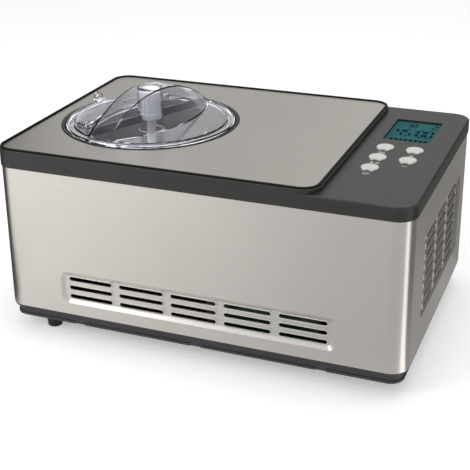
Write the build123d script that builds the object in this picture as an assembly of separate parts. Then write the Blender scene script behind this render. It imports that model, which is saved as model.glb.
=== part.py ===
from build123d import *
import os
from math import atan, cos, degrees, pi, radians, sin, sqrt, tan

os.makedirs("parts", exist_ok=True)

# A countertop ice cream maker with its own compressor, in millimetres.
# The origin is the bottom centre: +X to the right, +Y to the back, +Z up, feet on z = 0.

# ---------------------------------------------------------------- driving dimensions
body_width = 425.0              # top cover, left to right
body_depth = 280.0              # top cover, front to back
cover_corner_radius = 19.0
cover_overhang = 1.0            # the cover stands this far proud of the steel wrap
foot_height = 14.0
tray_height = 13.0              # plastic base under the steel
wrap_height = 153.0             # steel between base and cover
cover_band = 14.0               # height of the cover's side below the control panel
deck_step = 4.5                 # the deck stands this much above the control panel
sheet = 1.0                     # steel wrap
wall = 2.5                      # plastic walls
seat_gap = 0.3                  # between pieces that fit into one another
running_clearance = 0.05        # shaft in its bearing
moving_gap = 0.8                # between pieces that lift out of one another
pass_by = 1.0                   # how far a cutting shape runs past the face it cuts
bite = 0.5                      # how far a fused shape sinks into its neighbour

# Bowl mouth
bowl_inner_radius = 81.8
bowl_side_margin = 28.7         # from the bowl's inside to the cover's left side
bowl_axis_y = -5.5
bowl_wall = 1.2
bowl_rim_width = 4.5
bezel_gap = 2.8                 # from the bowl's rim to the bezel round it
bezel_wall = 4.0
bezel_proud = 0.6               # bezel above the deck plate

# Control panel
panel_width = 88.5              # from the deck's step to the cover's right side
control_offset = 3.55           # the controls' centre line, left of the panel's own
display_width = 48.5
display_length = 68.0
display_back_margin = 74.0      # from the cover's back to the display's middle
button_radius = 8.8
button_pitch_x = 29.7
button_pitch_y = 30.0
button_drop = 25.5              # from the display's front edge to the first row of keys
button_travel = 1.0
button_proud = 1.3

# Derived levels
tray_bottom_z = foot_height
wrap_bottom_z = tray_bottom_z + tray_height
wrap_top_z = wrap_bottom_z + wrap_height
panel_z = wrap_top_z + cover_band
deck_z = panel_z + deck_step
wrap_width = body_width - 2 * cover_overhang
wrap_depth = body_depth - 2 * cover_overhang
wrap_corner_radius = cover_corner_radius - cover_overhang
wrap_back_y = wrap_depth / 2
inner_fit = sheet + seat_gap    # from the wrap's outside to pieces that fit inside it
deck_right_edge = body_width / 2 - panel_width
bowl_axis_x = -body_width / 2 + bowl_side_margin + bowl_inner_radius
bowl_centre = (bowl_axis_x, bowl_axis_y)

# Layout inside: cold chamber on the left, then the compressor, then the fan and the condenser.
insulation_side_gap = 3.0
insulation_outer_radius = (bowl_inner_radius + bowl_side_margin - cover_overhang - sheet
                           - insulation_side_gap)
condenser_side_gap = 7.5
condenser_thickness = 24.0
condenser_x = wrap_width / 2 - sheet - condenser_side_gap - condenser_thickness / 2
condenser_front_x = condenser_x - condenser_thickness / 2
condenser_y = 8.0
shroud_depth = 16.0
shroud_joint = 0.5              # room left for the shroud's joint
shroud_x = condenser_front_x - shroud_depth - shroud_joint
fan_strut = 2.0                 # thickness of the struts before the shroud
fan_strut_gap = 1.0
fan_motor_length = 17.0
seam_width = 3.0
compressor_foam_gap = 10.5
compressor_fan_gap = 12.5
bay_low_x = bowl_axis_x + insulation_outer_radius
bay_high_x = shroud_x - fan_strut - fan_strut_gap - fan_motor_length
shell_radius = (bay_high_x - bay_low_x - compressor_foam_gap - compressor_fan_gap) / 2 - seam_width
compressor_x = bay_low_x + compressor_foam_gap + seam_width + shell_radius
compressor_y = condenser_y + 18.0
compressor_foot_pitch = 2 * shell_radius - 6.0


# ---------------------------------------------------------------- helpers
def at(x, y, z=0.0):
    return Location((x, y, z))


def rounded_block(width, depth, radius, z_low, z_high, centre=(0.0, 0.0)):
    outline = RectangleRounded(width, depth, radius)
    return at(centre[0], centre[1], z_low) * extrude(outline, amount=z_high - z_low)


def block(x_low, x_high, y_low, y_high, z_low, z_high):
    size = (x_high - x_low, y_high - y_low, z_high - z_low)
    middle = ((x_low + x_high) / 2, (y_low + y_high) / 2, (z_low + z_high) / 2)
    return Location(middle) * Box(*size)


def post(x, y, radius, z_low, z_high):
    return at(x, y, (z_low + z_high) / 2) * Cylinder(radius, z_high - z_low)


def rod_x(y, z, radius, x_low, x_high):
    return Location(((x_low + x_high) / 2, y, z)) * Rot(0, 90, 0) * Cylinder(radius, x_high - x_low)


def rod_y(x, z, radius, y_low, y_high):
    return Location((x, (y_low + y_high) / 2, z)) * Rot(90, 0, 0) * Cylinder(radius, y_high - y_low)


def turned(points, centre=(0.0, 0.0)):
    """A solid of revolution about the vertical line through centre; points are (radius, z)."""
    face = make_face(Polyline(*[(r, 0, z) for r, z in points], close=True))
    return at(centre[0], centre[1]) * revolve(face, Axis.Z, 360)


def bent_tube(points, bend_radius, radius):
    path = FilletPolyline(*points, radius=bend_radius)
    return sweep(Plane(origin=path @ 0, z_dir=path % 0) * Circle(radius), path=path)


def joined(solids):
    result = solids[0]
    for solid in solids[1:]:
        result = result + solid
    return result


# ---------------------------------------------------------------- feet and base tray
foot_radius = 8.5
foot_taper = 1.0
foot_edge = 1.0
foot_recess_radius = 4.0
left_foot_inset = (44.5, 20.0)  # from the cover's side, and from its front or back
right_foot_inset = (62.5, 42.0)
screw_radius = 1.6
screw_head_radius = 3.0
screw_head_height = 1.8
foot_screw_head_z = 5.0
tray_floor = 3.0
tray_inset = 5.0                # the tray's side stands back from the steel
tray_ledge_inset = 0.5
tray_ledge_height = 2.0
tray_upstand_height = 12.0
tray_upstand_wall = 2.0
tray_lip_height = 2.5
tray_lip_proud = 1.2
tray_notch_width = 11.0
tray_notch_end = 18.25
tray_notch_pitch = (body_width - 2 * tray_notch_end) / 3
tray_floor_z = tray_bottom_z + tray_floor
boss_radius = 5.0
boss_height = 8.0
screw_tip_gap = 1.0


def foot_place(side, row):
    inset_x, inset_y = left_foot_inset if side < 0 else right_foot_inset
    return side * (body_width / 2 - inset_x), row * (body_depth / 2 - inset_y)


foot_places = {
    "front_left_foot": foot_place(-1, -1),
    "rear_left_foot": foot_place(-1, 1),
    "front_right_foot": foot_place(1, -1),
    "rear_right_foot": foot_place(1, 1),
}


def foot(place):
    x, y = place
    low = foot_radius - foot_taper
    body = turned([(0, 0), (low, 0), (foot_radius, foot_height), (0, foot_height)], place)
    body = fillet(body.edges().sort_by(Axis.Z)[0], foot_edge)
    recess = post(x, y, foot_recess_radius, -pass_by, foot_screw_head_z + screw_head_height)
    bore = post(x, y, screw_radius + running_clearance, 0, foot_height + pass_by)
    return body - recess - bore


def foot_screw(place):
    x, y = place
    head_top = foot_screw_head_z + screw_head_height
    head = post(x, y, screw_head_radius, foot_screw_head_z, head_top)
    shank = post(x, y, screw_radius, head_top, tray_floor_z + boss_height - screw_tip_gap)
    return head + shank


# Paddle drive levels: the motor stands under the gear case, the case under the foam.
gear_module = 1.25
gear_teeth = 60
pinion_teeth = 15
gear_width = 8.0
gear_floor_gap = 1.0
gear_top_gap = 1.5
gearbox_plate = 2.5
gearbox_wall = 2.5
motor_room = 24.0
bushing_length = 8.0
foam_floor = 19.5
chamber_wall = 1.5
gearbox_floor_z = tray_floor_z + motor_room
gear_low_z = gearbox_floor_z + gearbox_plate + gear_floor_gap
gearbox_top_z = gear_low_z + gear_width + gear_top_gap
insulation_bottom_z = gearbox_top_z + bushing_length
chamber_floor_z = insulation_bottom_z + foam_floor + chamber_wall

# Chamber pillars, compressor bosses and card guides stand on the tray's floor.
pillar_radius = 6.0
pillar_inset = 7.9
pillar_spread = (insulation_outer_radius - pillar_inset) / sqrt(2)
compressor_boss_radius = 7.0
compressor_boss_height = 4.0
power_board_x = compressor_x - 6.0
power_board_y = -body_depth / 2 + 21.0
power_board_width = 104.0
power_board_height = 66.0
board_thickness = 1.6
guide_depth = 3.0
guide_size = 9.0
guide_drop = 4.0                # the guides end this far below the board's top
guide_foot = 2.0                # and hold it this far above the tray's floor


def pillar_places():
    return [(bowl_axis_x + i * pillar_spread, bowl_axis_y + j * pillar_spread)
            for i in (-1, 1) for j in (-1, 1)]


def compressor_foot_places():
    half = compressor_foot_pitch / 2
    return [(compressor_x + i * half, compressor_y + j * half) for i in (-1, 1) for j in (-1, 1)]


def card_guide(side):
    """An upright post with a groove that holds one edge of the power board."""
    edge_x = power_board_x + side * power_board_width / 2
    x_in = edge_x - side * guide_depth
    x_out = x_in + side * guide_size
    top_z = tray_floor_z + power_board_height - guide_drop
    upright = block(min(x_in, x_out), max(x_in, x_out), power_board_y - guide_size / 2,
                    power_board_y + guide_size / 2, tray_floor_z - bite, top_z)
    half = board_thickness / 2 + seat_gap / 2
    mouth = x_in - side * pass_by
    groove_end = edge_x + side * seat_gap / 2
    groove = block(min(mouth, groove_end), max(mouth, groove_end), power_board_y - half,
                   power_board_y + half, tray_floor_z + guide_foot, top_z + pass_by)
    return upright - groove


def base_tray():
    side_width = wrap_width - 2 * tray_inset
    side_depth = wrap_depth - 2 * tray_inset
    side_radius = wrap_corner_radius - tray_inset
    ledge_z = wrap_bottom_z - tray_ledge_height
    upstand_top = wrap_bottom_z + tray_upstand_height
    fit_width = wrap_width - 2 * inner_fit
    fit_depth = wrap_depth - 2 * inner_fit
    fit_radius = wrap_corner_radius - inner_fit

    tray = rounded_block(side_width, side_depth, side_radius, tray_bottom_z, wrap_bottom_z)
    tray += rounded_block(wrap_width - 2 * tray_ledge_inset, wrap_depth - 2 * tray_ledge_inset,
                          wrap_corner_radius - tray_ledge_inset, ledge_z, wrap_bottom_z)
    tray += rounded_block(fit_width, fit_depth, fit_radius, ledge_z, upstand_top)
    lip = rounded_block(side_width + 2 * tray_lip_proud, side_depth + 2 * tray_lip_proud,
                        side_radius + tray_lip_proud, tray_bottom_z,
                        tray_bottom_z + tray_lip_height)
    for i in (-1, 0, 1):
        x = i * tray_notch_pitch
        lip -= block(x - tray_notch_width / 2, x + tray_notch_width / 2, -body_depth, body_depth,
                     tray_bottom_z - pass_by, tray_bottom_z + tray_lip_height + pass_by)
    tray += lip
    tray -= rounded_block(side_width - 2 * wall, side_depth - 2 * wall, side_radius - wall,
                          tray_floor_z, upstand_top + pass_by)
    tray -= rounded_block(fit_width - 2 * tray_upstand_wall, fit_depth - 2 * tray_upstand_wall,
                          fit_radius - tray_upstand_wall, wrap_bottom_z, upstand_top + pass_by)
    for x, y in foot_places.values():
        tray += post(x, y, boss_radius, tray_floor_z - bite, tray_floor_z + boss_height)
        tray -= post(x, y, screw_radius + running_clearance, tray_bottom_z - pass_by,
                     tray_floor_z + boss_height + pass_by)
    for x, y in pillar_places():
        tray += post(x, y, pillar_radius, tray_floor_z - bite, insulation_bottom_z)
    for x, y in compressor_foot_places():
        tray += post(x, y, compressor_boss_radius, tray_floor_z - bite,
                     tray_floor_z + compressor_boss_height)
    for side in (-1, 1):
        tray += card_guide(side)
    for x, z in rear_screw_places():
        tray -= rear_hole(x, z)
    return tray - tray_air_slots()


tray_slot_length = 44.0
tray_slot_width = 4.0
tray_slot_pitch = 12.0
tray_slot_rows = 7
condenser_slot_offset = 11.0    # slots under the condenser, left of its middle
motor_slot_offset = 35.0        # slots beside the paddle motor, right of its axis


def tray_air_slots():
    """Two rows of slots in the floor that let air in under the condenser and the motor."""
    slot = extrude(SlotOverall(tray_slot_length, tray_slot_width), amount=tray_floor + 2 * pass_by)
    slots = []
    for row_x in (condenser_x - condenser_slot_offset, motor_x + motor_slot_offset):
        for i in range(tray_slot_rows):
            y = (i - (tray_slot_rows - 1) / 2) * tray_slot_pitch
            slots.append(at(row_x, y, tray_bottom_z - pass_by) * slot)
    return joined(slots)


# ---------------------------------------------------------------- steel wrap and its vents
vent_depth = 2.5
slot_height = 4.6
front_vent_margin = 67.0        # from the cover's side to the dish
front_vent_end = 5.0            # from the dish's end to the first column's field
front_slot_gap = 8.2
front_vent_foot = 12.7          # from the wrap's bottom edge to the dish
side_vent_margin = 50.0
side_vent_end = 14.25
side_slot_gap = 4.5
side_vent_foot = 29.95
side_vent_head = 38.55          # from the wrap's top edge to the dish
side_vent_edge = 5.15           # from the dish's edge to the first row's field
side_vent_shift = 8.0
front_vent_width = body_width - 2 * front_vent_margin
front_vent_height = 35.0
front_columns = 5
front_pitch_x = (front_vent_width - 2 * front_vent_end) / front_columns
side_vent_width = body_depth - 2 * side_vent_margin
side_vent_height = wrap_height - side_vent_foot - side_vent_head
side_columns = 3
side_rows = 8
side_pitch_x = (side_vent_width - 2 * side_vent_end) / side_columns
side_pitch_z = (side_vent_height - 2 * side_vent_edge) / (side_rows - 1)
front_vent = {"width": front_vent_width, "height": front_vent_height, "run": 4.0, "corner": 8.0,
              "columns": front_columns, "rows": 3, "slot": front_pitch_x - front_slot_gap,
              "pitch_x": front_pitch_x, "pitch_z": 9.75, "shift": 0.0,
              "centre_z": wrap_bottom_z + front_vent_foot + front_vent_height / 2}
side_vent = {"width": side_vent_width, "height": side_vent_height, "run": 2.5, "corner": 6.0,
             "columns": side_columns, "rows": side_rows, "slot": side_pitch_x - side_slot_gap,
             "pitch_x": side_pitch_x, "pitch_z": side_pitch_z, "shift": side_vent_shift,
             "centre_z": wrap_bottom_z + side_vent_foot + side_vent_height / 2}
rear_opening_half = body_width / 2 - 32.5
lip_proud = 0.7
lip_width = 1.4


def vent_grid(vent):
    for column in range(vent["columns"]):
        for row in range(vent["rows"]):
            yield ((column - (vent["columns"] - 1) / 2) * vent["pitch_x"],
                   (row - (vent["rows"] - 1) / 2) * vent["pitch_z"])


def dished_panel(vent, thickness):
    """The dish of a vent, in its own frame: the wall's outside is z = 0, +Z points outwards."""
    run, corner = vent["run"], vent["corner"]
    width, height = vent["width"], vent["height"]

    def dish(grow, depth):
        mouth = RectangleRounded(width + 2 * grow, height + 2 * grow, corner + grow)
        floor = RectangleRounded(width - 2 * run + 2 * grow, height - 2 * run + 2 * grow,
                                 corner - run / 2 + grow)
        return loft([mouth, at(0, 0, -depth) * floor])

    lip = SlotOverall(vent["slot"] + 2 * lip_width, slot_height + 2 * lip_width)
    opening = SlotOverall(vent["slot"], slot_height)
    lips, openings = [], []
    for x, y in vent_grid(vent):
        lips.append(at(x, y, -vent_depth - thickness / 2)
                    * extrude(lip, amount=lip_proud + thickness / 2))
        openings.append(at(x, y, -vent_depth - thickness - pass_by)
                        * extrude(opening, amount=vent_depth + thickness + 2 * pass_by))
    return dish(thickness, vent_depth + thickness), dish(0, vent_depth), lips, openings


def add_vent(shell, vent, place):
    outer, inner, lips, openings = dished_panel(vent, sheet)
    shell = shell + place * outer - place * inner
    shell = shell + [place * lip for lip in lips]
    return shell - [place * opening for opening in openings]


def vent_place(side):
    """Where a vent's own frame lies on the wrap: 'front', 'right' or 'left'."""
    if side == "front":
        plane = Plane(origin=(front_vent["shift"], -wrap_depth / 2, front_vent["centre_z"]),
                      x_dir=(1, 0, 0), z_dir=(0, -1, 0))
    elif side == "right":
        plane = Plane(origin=(wrap_width / 2, side_vent["shift"], side_vent["centre_z"]),
                      x_dir=(0, 1, 0), z_dir=(1, 0, 0))
    else:
        plane = Plane(origin=(-wrap_width / 2, side_vent["shift"], side_vent["centre_z"]),
                      x_dir=(0, -1, 0), z_dir=(-1, 0, 0))
    return plane.location


def housing_wrap():
    outer = rounded_block(wrap_width, wrap_depth, wrap_corner_radius, wrap_bottom_z, wrap_top_z)
    inner = rounded_block(wrap_width - 2 * sheet, wrap_depth - 2 * sheet, wrap_corner_radius - sheet,
                          wrap_bottom_z - pass_by, wrap_top_z + pass_by)
    shell = outer - inner
    shell -= block(-rear_opening_half, rear_opening_half, 0, body_depth,
                   wrap_bottom_z - pass_by, wrap_top_z + pass_by)
    shell = add_vent(shell, front_vent, vent_place("front"))
    for side in ("right", "left"):
        shell = add_vent(shell, side_vent, vent_place(side))
    for x, z in rear_screw_places():
        shell -= rear_hole(x, z)
    return shell


# ---------------------------------------------------------------- rear panel, its screws, the gland
rear_panel_overlap = 8.0        # of the panel behind the steel, at each side
rear_panel_half = rear_opening_half + rear_panel_overlap
rear_panel_thickness = 2.5
rear_screw_x = rear_opening_half + rear_panel_overlap / 2
rear_screw_end = 10.0
tray_screw_rise = 6.0
cover_screw_drop = 4.0
rear_hole_length = 12.0
rear_screw_head = 0.8
rear_screw_length = 5.0
cover_lip_height = 8.0
rear_panel_bottom_z = wrap_bottom_z + tray_upstand_height + seat_gap
rear_panel_top_z = wrap_top_z - cover_lip_height - seat_gap
rear_panel_back_y = wrap_back_y - sheet
gland_x = rear_panel_half - 38.0
gland_z = wrap_bottom_z + 33.0
gland_radius = 7.0
gland_hole_gap = 0.1
gland_flange_radius = 11.0
gland_flange_height = 1.8
gland_bore_radius = 3.4
gland_length = 16.0
rear_vent_columns = 4
rear_vent_rows = 9
rear_vent_margin = 53.0         # from the panel's left edge to the first column's field
rear_vent_right = 83.0
rear_slot_gap = 10.0
rear_vent_foot = 25.45
rear_vent_head = 12.45
rear_pitch_x = (2 * rear_panel_half - rear_vent_margin - rear_vent_right) / rear_vent_columns
rear_pitch_z = (rear_panel_top_z - rear_panel_bottom_z - rear_vent_foot - rear_vent_head) \
    / rear_vent_rows
rear_vent = {"columns": rear_vent_columns, "rows": rear_vent_rows,
             "slot": rear_pitch_x - rear_slot_gap, "pitch_x": rear_pitch_x, "pitch_z": rear_pitch_z}
rear_vent_centre = ((rear_vent_margin - rear_vent_right) / 2,
                    (rear_panel_bottom_z + rear_vent_foot + rear_panel_top_z - rear_vent_head) / 2)


def rear_screw_places():
    middle_z = (rear_panel_bottom_z + rear_panel_top_z) / 2
    reach = (rear_panel_top_z - rear_panel_bottom_z) / 2 - rear_screw_end
    rows = (wrap_bottom_z + tray_screw_rise, middle_z - reach, middle_z, middle_z + reach,
            wrap_top_z - cover_screw_drop)
    return [(side * rear_screw_x, z) for side in (-1, 1) for z in rows]


def rear_hole(x, z):
    half = rear_hole_length / 2
    return rod_y(x, z, screw_radius + running_clearance, wrap_back_y - half, wrap_back_y + half)


def rear_screw(x, z):
    head = rod_y(x, z, screw_head_radius, wrap_back_y, wrap_back_y + rear_screw_head)
    return head + rod_y(x, z, screw_radius, wrap_back_y - rear_screw_length, wrap_back_y)


def rear_panel():
    panel = block(-rear_panel_half, rear_panel_half, rear_panel_back_y - rear_panel_thickness,
                  rear_panel_back_y, rear_panel_bottom_z, rear_panel_top_z)
    slot = extrude(SlotOverall(rear_vent["slot"], slot_height), amount=rear_panel_thickness + pass_by,
                   both=True)
    slots = [Location((rear_vent_centre[0] + x, rear_panel_back_y, rear_vent_centre[1] + z))
             * Rot(90, 0, 0) * slot for x, z in vent_grid(rear_vent)]
    panel = panel - slots
    for x, z in rear_screw_places():
        panel -= rear_hole(x, z)
    return panel - rod_y(gland_x, gland_z, gland_radius + gland_hole_gap,
                         rear_panel_back_y - rear_panel_thickness - pass_by,
                         rear_panel_back_y + pass_by)


def cord_gland():
    """The bush that the supply cord would leave through."""
    edge = 1.0
    points = [(gland_bore_radius, gland_flange_height),
              (gland_flange_radius - edge, gland_flange_height),
              (gland_flange_radius, gland_flange_height - edge), (gland_flange_radius, 0),
              (gland_radius, 0), (gland_radius, -gland_length), (gland_bore_radius, -gland_length)]
    return Location((gland_x, rear_panel_back_y, gland_z)) * Rot(-90, 0, 0) * turned(points)


# ---------------------------------------------------------------- top cover and deck plate
deck_rim = 3.7                  # from the cover's side to the plate
deck_edge = 1.2
plate_thickness = 1.0
plate_fit = 0.15
cover_edge = 2.0
cover_lip = 2.0
cover_lip_root = 4.0            # how far the lip runs up inside the cover
rim_radius = bowl_inner_radius + bowl_wall + bowl_rim_width
bezel_inner_radius = rim_radius + bezel_gap
bezel_outer_radius = bezel_inner_radius + bezel_wall
bezel_fit = 0.2
bowl_hole_radius = bezel_outer_radius + bezel_fit
control_x = body_width / 2 - panel_width / 2 - control_offset
display_centre_y = body_depth / 2 - display_back_margin
button_first_y = display_centre_y - display_length / 2 - button_drop
button_rows = 3
button_hole_gap = 0.35
display_corner = 3.0
lens_margin = 4.0
lens_thickness = 1.5
board_drop = 16.0               # from the panel's top to the control board's underside
board_z = panel_z - board_drop
board_margin_x = 20.15          # board beyond the keys' centre lines
board_front_margin = 20.5
board_back_margin = 18.0        # board beyond the display
board_front_y = button_first_y - (button_rows - 1) * button_pitch_y - board_front_margin
board_back_y = display_centre_y + display_length / 2 + board_back_margin
board_size = (button_pitch_x + 2 * board_margin_x, board_back_y - board_front_y)
board_centre_y = (board_front_y + board_back_y) / 2
board_screw_inset = 5.0
cover_boss_radius = 3.2
pilot_shrink = 0.4              # pilot holes are this much under the screw's radius


def deck_outline(inset):
    """The raised deck in plan: concentric with the cover, with the same round corners."""
    left = -body_width / 2 + inset
    right = deck_right_edge - inset
    centre = (left + right) / 2
    return at(centre, 0) * RectangleRounded(right - left, body_depth - 2 * inset,
                                            cover_corner_radius - inset)


def button_places():
    left, right = control_x - button_pitch_x / 2, control_x + button_pitch_x / 2
    rows = [button_first_y - i * button_pitch_y for i in range(button_rows)]
    return {
        "menu_button": (left, rows[0]),
        "timer_plus_button": (right, rows[0]),
        "start_button": (left, rows[1]),
        "timer_minus_button": (right, rows[1]),
        "power_button": (left, rows[2]),
    }


# The key's outline as shares of its radius: half widths and drops of its narrowed foot.
key_foot_half, key_foot_drop = 0.52, 1.12
key_wing_half, key_wing_drop = 0.86, 0.52
key_bite_radius, key_bite_drop = 0.34, 1.22


def button_outline(grow):
    """A round key with a narrowed foot and a small bite in its lower edge."""
    foot_half, foot_drop = button_radius * key_foot_half, button_radius * key_foot_drop
    wing_half, wing_drop = button_radius * key_wing_half, button_radius * key_wing_drop
    tail = Polygon((-foot_half - grow, -foot_drop - grow), (foot_half + grow, -foot_drop - grow),
                   (wing_half + grow, -wing_drop + grow), (-wing_half - grow, -wing_drop + grow),
                   align=None)
    face = Circle(button_radius + grow) + tail
    return face - at(0, -button_radius * key_bite_drop) * Circle(button_radius * key_bite_radius - grow)


def control_board_screw_places():
    half_x = board_size[0] / 2 - board_screw_inset
    half_y = board_size[1] / 2 - board_screw_inset
    return [(control_x + i * half_x, board_centre_y + j * half_y) for i in (-1, 1) for j in (-1, 1)]


def cover_outside():
    """The cover before it is hollowed: the low panel block and the deck that stands on it."""
    low = rounded_block(body_width, body_depth, cover_corner_radius, wrap_top_z, panel_z)
    low = fillet(low.edges().group_by(Axis.Z)[-1], cover_edge)
    deck = at(0, 0, wrap_top_z) * extrude(deck_outline(0), amount=deck_z - wrap_top_z)
    deck = fillet(deck.edges().group_by(Axis.Z)[-1], deck_edge)
    return low + deck


def top_cover():
    ceiling_z = panel_z - wall
    deck_ceiling_z = deck_z - plate_thickness - wall
    cover = cover_outside()
    cover -= rounded_block(body_width - 2 * wall, body_depth - 2 * wall,
                           cover_corner_radius - wall, wrap_top_z - pass_by, ceiling_z)
    cover -= at(0, 0, wrap_top_z - pass_by) * extrude(deck_outline(wall),
                                                      amount=deck_ceiling_z - wrap_top_z + pass_by)
    lip_width = wrap_width - 2 * inner_fit
    lip_depth = wrap_depth - 2 * inner_fit
    lip_radius = wrap_corner_radius - inner_fit
    lip_low, lip_high = wrap_top_z - cover_lip_height, wrap_top_z + cover_lip_root
    lip = rounded_block(lip_width, lip_depth, lip_radius, lip_low, lip_high)
    lip -= rounded_block(lip_width - 2 * cover_lip, lip_depth - 2 * cover_lip,
                         lip_radius - cover_lip, lip_low - pass_by, lip_high + pass_by)
    cover += lip
    cover -= at(0, 0, deck_z - plate_thickness) * extrude(deck_outline(deck_rim - plate_fit),
                                                          amount=plate_thickness + pass_by)
    cover -= post(*bowl_centre, bowl_hole_radius, wrap_top_z, deck_z + pass_by)
    cover -= rounded_block(display_width, display_length, display_corner, ceiling_z - pass_by,
                           panel_z + pass_by, (control_x, display_centre_y))
    for x, y in button_places().values():
        cover -= at(x, y, ceiling_z - pass_by) * extrude(button_outline(button_hole_gap),
                                                         amount=wall + 2 * pass_by)
    for x, y in control_board_screw_places():
        cover += post(x, y, cover_boss_radius, board_z + board_thickness, ceiling_z + bite)
        cover -= post(x, y, screw_radius - pilot_shrink, board_z, ceiling_z - bite)
    for x, z in rear_screw_places():
        cover -= rear_hole(x, z)
    return cover


def top_plate():
    plate = at(0, 0, deck_z - plate_thickness) * extrude(deck_outline(deck_rim), amount=plate_thickness)
    return plate - post(*bowl_centre, bowl_hole_radius, 0, deck_z + pass_by)


# ---------------------------------------------------------------- bezel, bowl and cold chamber
rim_drop = 1.5                  # the bowl's rim lies this far below the deck
rim_z = deck_z - rim_drop
bowl_bottom_z = chamber_floor_z + seat_gap
bowl_outer_radius = bowl_inner_radius + bowl_wall
bowl_floor = 1.5
bowl_bend = 7.0
rim_turn_down = 4.0
chamber_radius = bowl_outer_radius + moving_gap
chamber_flange_z = deck_z - 10.0
chamber_flange_radius = insulation_outer_radius - 6.7
chamber_bend = 4.0
coil_tube_radius = 3.0
coil_gap = 0.1
coil_radius = chamber_radius + chamber_wall + coil_gap + coil_tube_radius
coil_turns = 6
coil_low_z = chamber_floor_z + 12.0
coil_top_z = chamber_flange_z - 23.5
coil_pitch = (coil_top_z - coil_low_z) / (coil_turns - 1)
foam_gap = 0.5
insulation_inner_radius = coil_radius + coil_tube_radius + foam_gap
shaft_radius = 5.0
bowl_tube_radius = 6.5
bowl_tube_wall = 1.5
bowl_tube_height = 33.0
bowl_tube_foot = 2.0
seal_radius = 10.0
seal_step = 1.6
seal_drop = 3.0
seal_edge = 2.0


def bowl_bezel():
    edge, chamfer_in = 1.0, 1.2
    top_z = deck_z + bezel_proud
    low_z = chamber_flange_z + chamber_wall
    inner, outer = bezel_inner_radius, bezel_outer_radius
    points = [(inner, low_z), (outer, low_z), (outer, top_z - edge), (outer - edge, top_z),
              (inner + chamfer_in, top_z), (inner, top_z - chamfer_in)]
    return turned(points, bowl_centre)


def bowl():
    inner, outer, rim = bowl_inner_radius, bowl_outer_radius, rim_radius
    tube_in, tube_out = bowl_tube_radius, bowl_tube_radius + bowl_tube_wall
    low, floor_z = bowl_bottom_z, bowl_bottom_z + bowl_floor
    tube_top = low + bowl_tube_height
    bend, slant = bowl_bend, 0.3
    inside_bend = bend - bowl_floor
    points = [(tube_in, low), (outer - bend, low), (outer - bend * slant, low + bend * slant),
              (outer, low + bend), (outer, rim_z - bowl_wall), (rim - bowl_wall, rim_z - bowl_wall),
              (rim - bowl_wall, rim_z - rim_turn_down), (rim, rim_z - rim_turn_down), (rim, rim_z),
              (inner, rim_z), (inner, low + bend),
              (inner - inside_bend * slant, floor_z + inside_bend * slant), (outer - bend, floor_z),
              (tube_out + bowl_tube_foot, floor_z), (tube_out, floor_z + bowl_tube_foot),
              (tube_out, tube_top), (tube_in, tube_top)]
    return turned(points, bowl_centre)


def cooling_chamber():
    inner, outer = chamber_radius, chamber_radius + chamber_wall
    floor_z, low = chamber_floor_z, chamber_floor_z - chamber_wall
    top = chamber_flange_z + chamber_wall
    inside_bend = chamber_bend - bite
    points = [(seal_radius, low), (outer - chamber_bend, low), (outer, low + chamber_bend),
              (outer, chamber_flange_z), (chamber_flange_radius, chamber_flange_z),
              (chamber_flange_radius, top), (inner, top), (inner, floor_z + inside_bend),
              (inner - inside_bend, floor_z), (seal_radius, floor_z)]
    return turned(points, bowl_centre)


def evaporator_coil():
    """The turns of copper tube that lie round the chamber, each one a closed ring."""
    turns = [at(*bowl_centre, coil_low_z + i * coil_pitch) * Torus(coil_radius, coil_tube_radius)
             for i in range(coil_turns)]
    return Compound(children=turns)


def pipe_entry(y, z, radius):
    """The hole in the foam's right side where a pipe goes in to the coil."""
    return rod_x(y, z, radius + seat_gap, bowl_axis_x, bowl_axis_x + insulation_outer_radius + pass_by)


def chamber_insulation():
    top = chamber_flange_z
    foam = post(*bowl_centre, insulation_outer_radius, insulation_bottom_z, top)
    foam -= post(*bowl_centre, insulation_inner_radius, chamber_floor_z - chamber_wall, top + pass_by)
    foam -= post(*bowl_centre, seal_radius + seal_edge, 0, top)
    foam -= pipe_entry(suction_y, suction_z, pipe_radius)
    return foam - pipe_entry(capillary_y, capillary_z, capillary_radius)


def shaft_seal():
    chamber_low = chamber_floor_z - chamber_wall
    low = chamber_low - seal_drop
    inner = shaft_radius + running_clearance
    points = [(inner, low), (seal_radius + seal_step, low), (seal_radius + seal_step, chamber_low),
              (seal_radius, chamber_low), (seal_radius, chamber_floor_z),
              (inner + seal_edge, chamber_floor_z), (inner, chamber_floor_z - seal_edge)]
    return turned(points, bowl_centre)


# ---------------------------------------------------------------- paddle drive
gear_backlash = 0.35
gear_mesh_gap = 0.15
tooth_head, tooth_foot = 0.8, 1.2    # in modules, above and below the pitch circle
pressure_angle = 20.0
tooth_root_sink = 0.5
centre_distance = gear_module * (gear_teeth + pinion_teeth) / 2 + gear_mesh_gap
gearbox_gap = 2.0
pinion_gap = 4.0                # more room round the pinion
motor_radius = 27.0
motor_edge = 2.0
motor_shoulder = 4.0
motor_bearing_radius = 6.0
motor_foot_gap = 0.5
motor_shaft_radius = 3.0
shaft_engagement = 8.0
shaft_end_gap = 0.5
shaft_square = 7.0
square_clearance = 0.3
square_height = 12.0
square_chamfer = 1.0
shaft_top_z = bowl_bottom_z + bowl_tube_height + 12.0
bushing_wall = 3.0
bushing_flange = 2.0
motor_x = bowl_axis_x + centre_distance
motor_y = bowl_axis_y
lightening_holes = 6
lightening_radius = 6.5
lightening_reach = 0.58         # share of the pitch radius
pinion_hub_proud = 0.8


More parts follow.
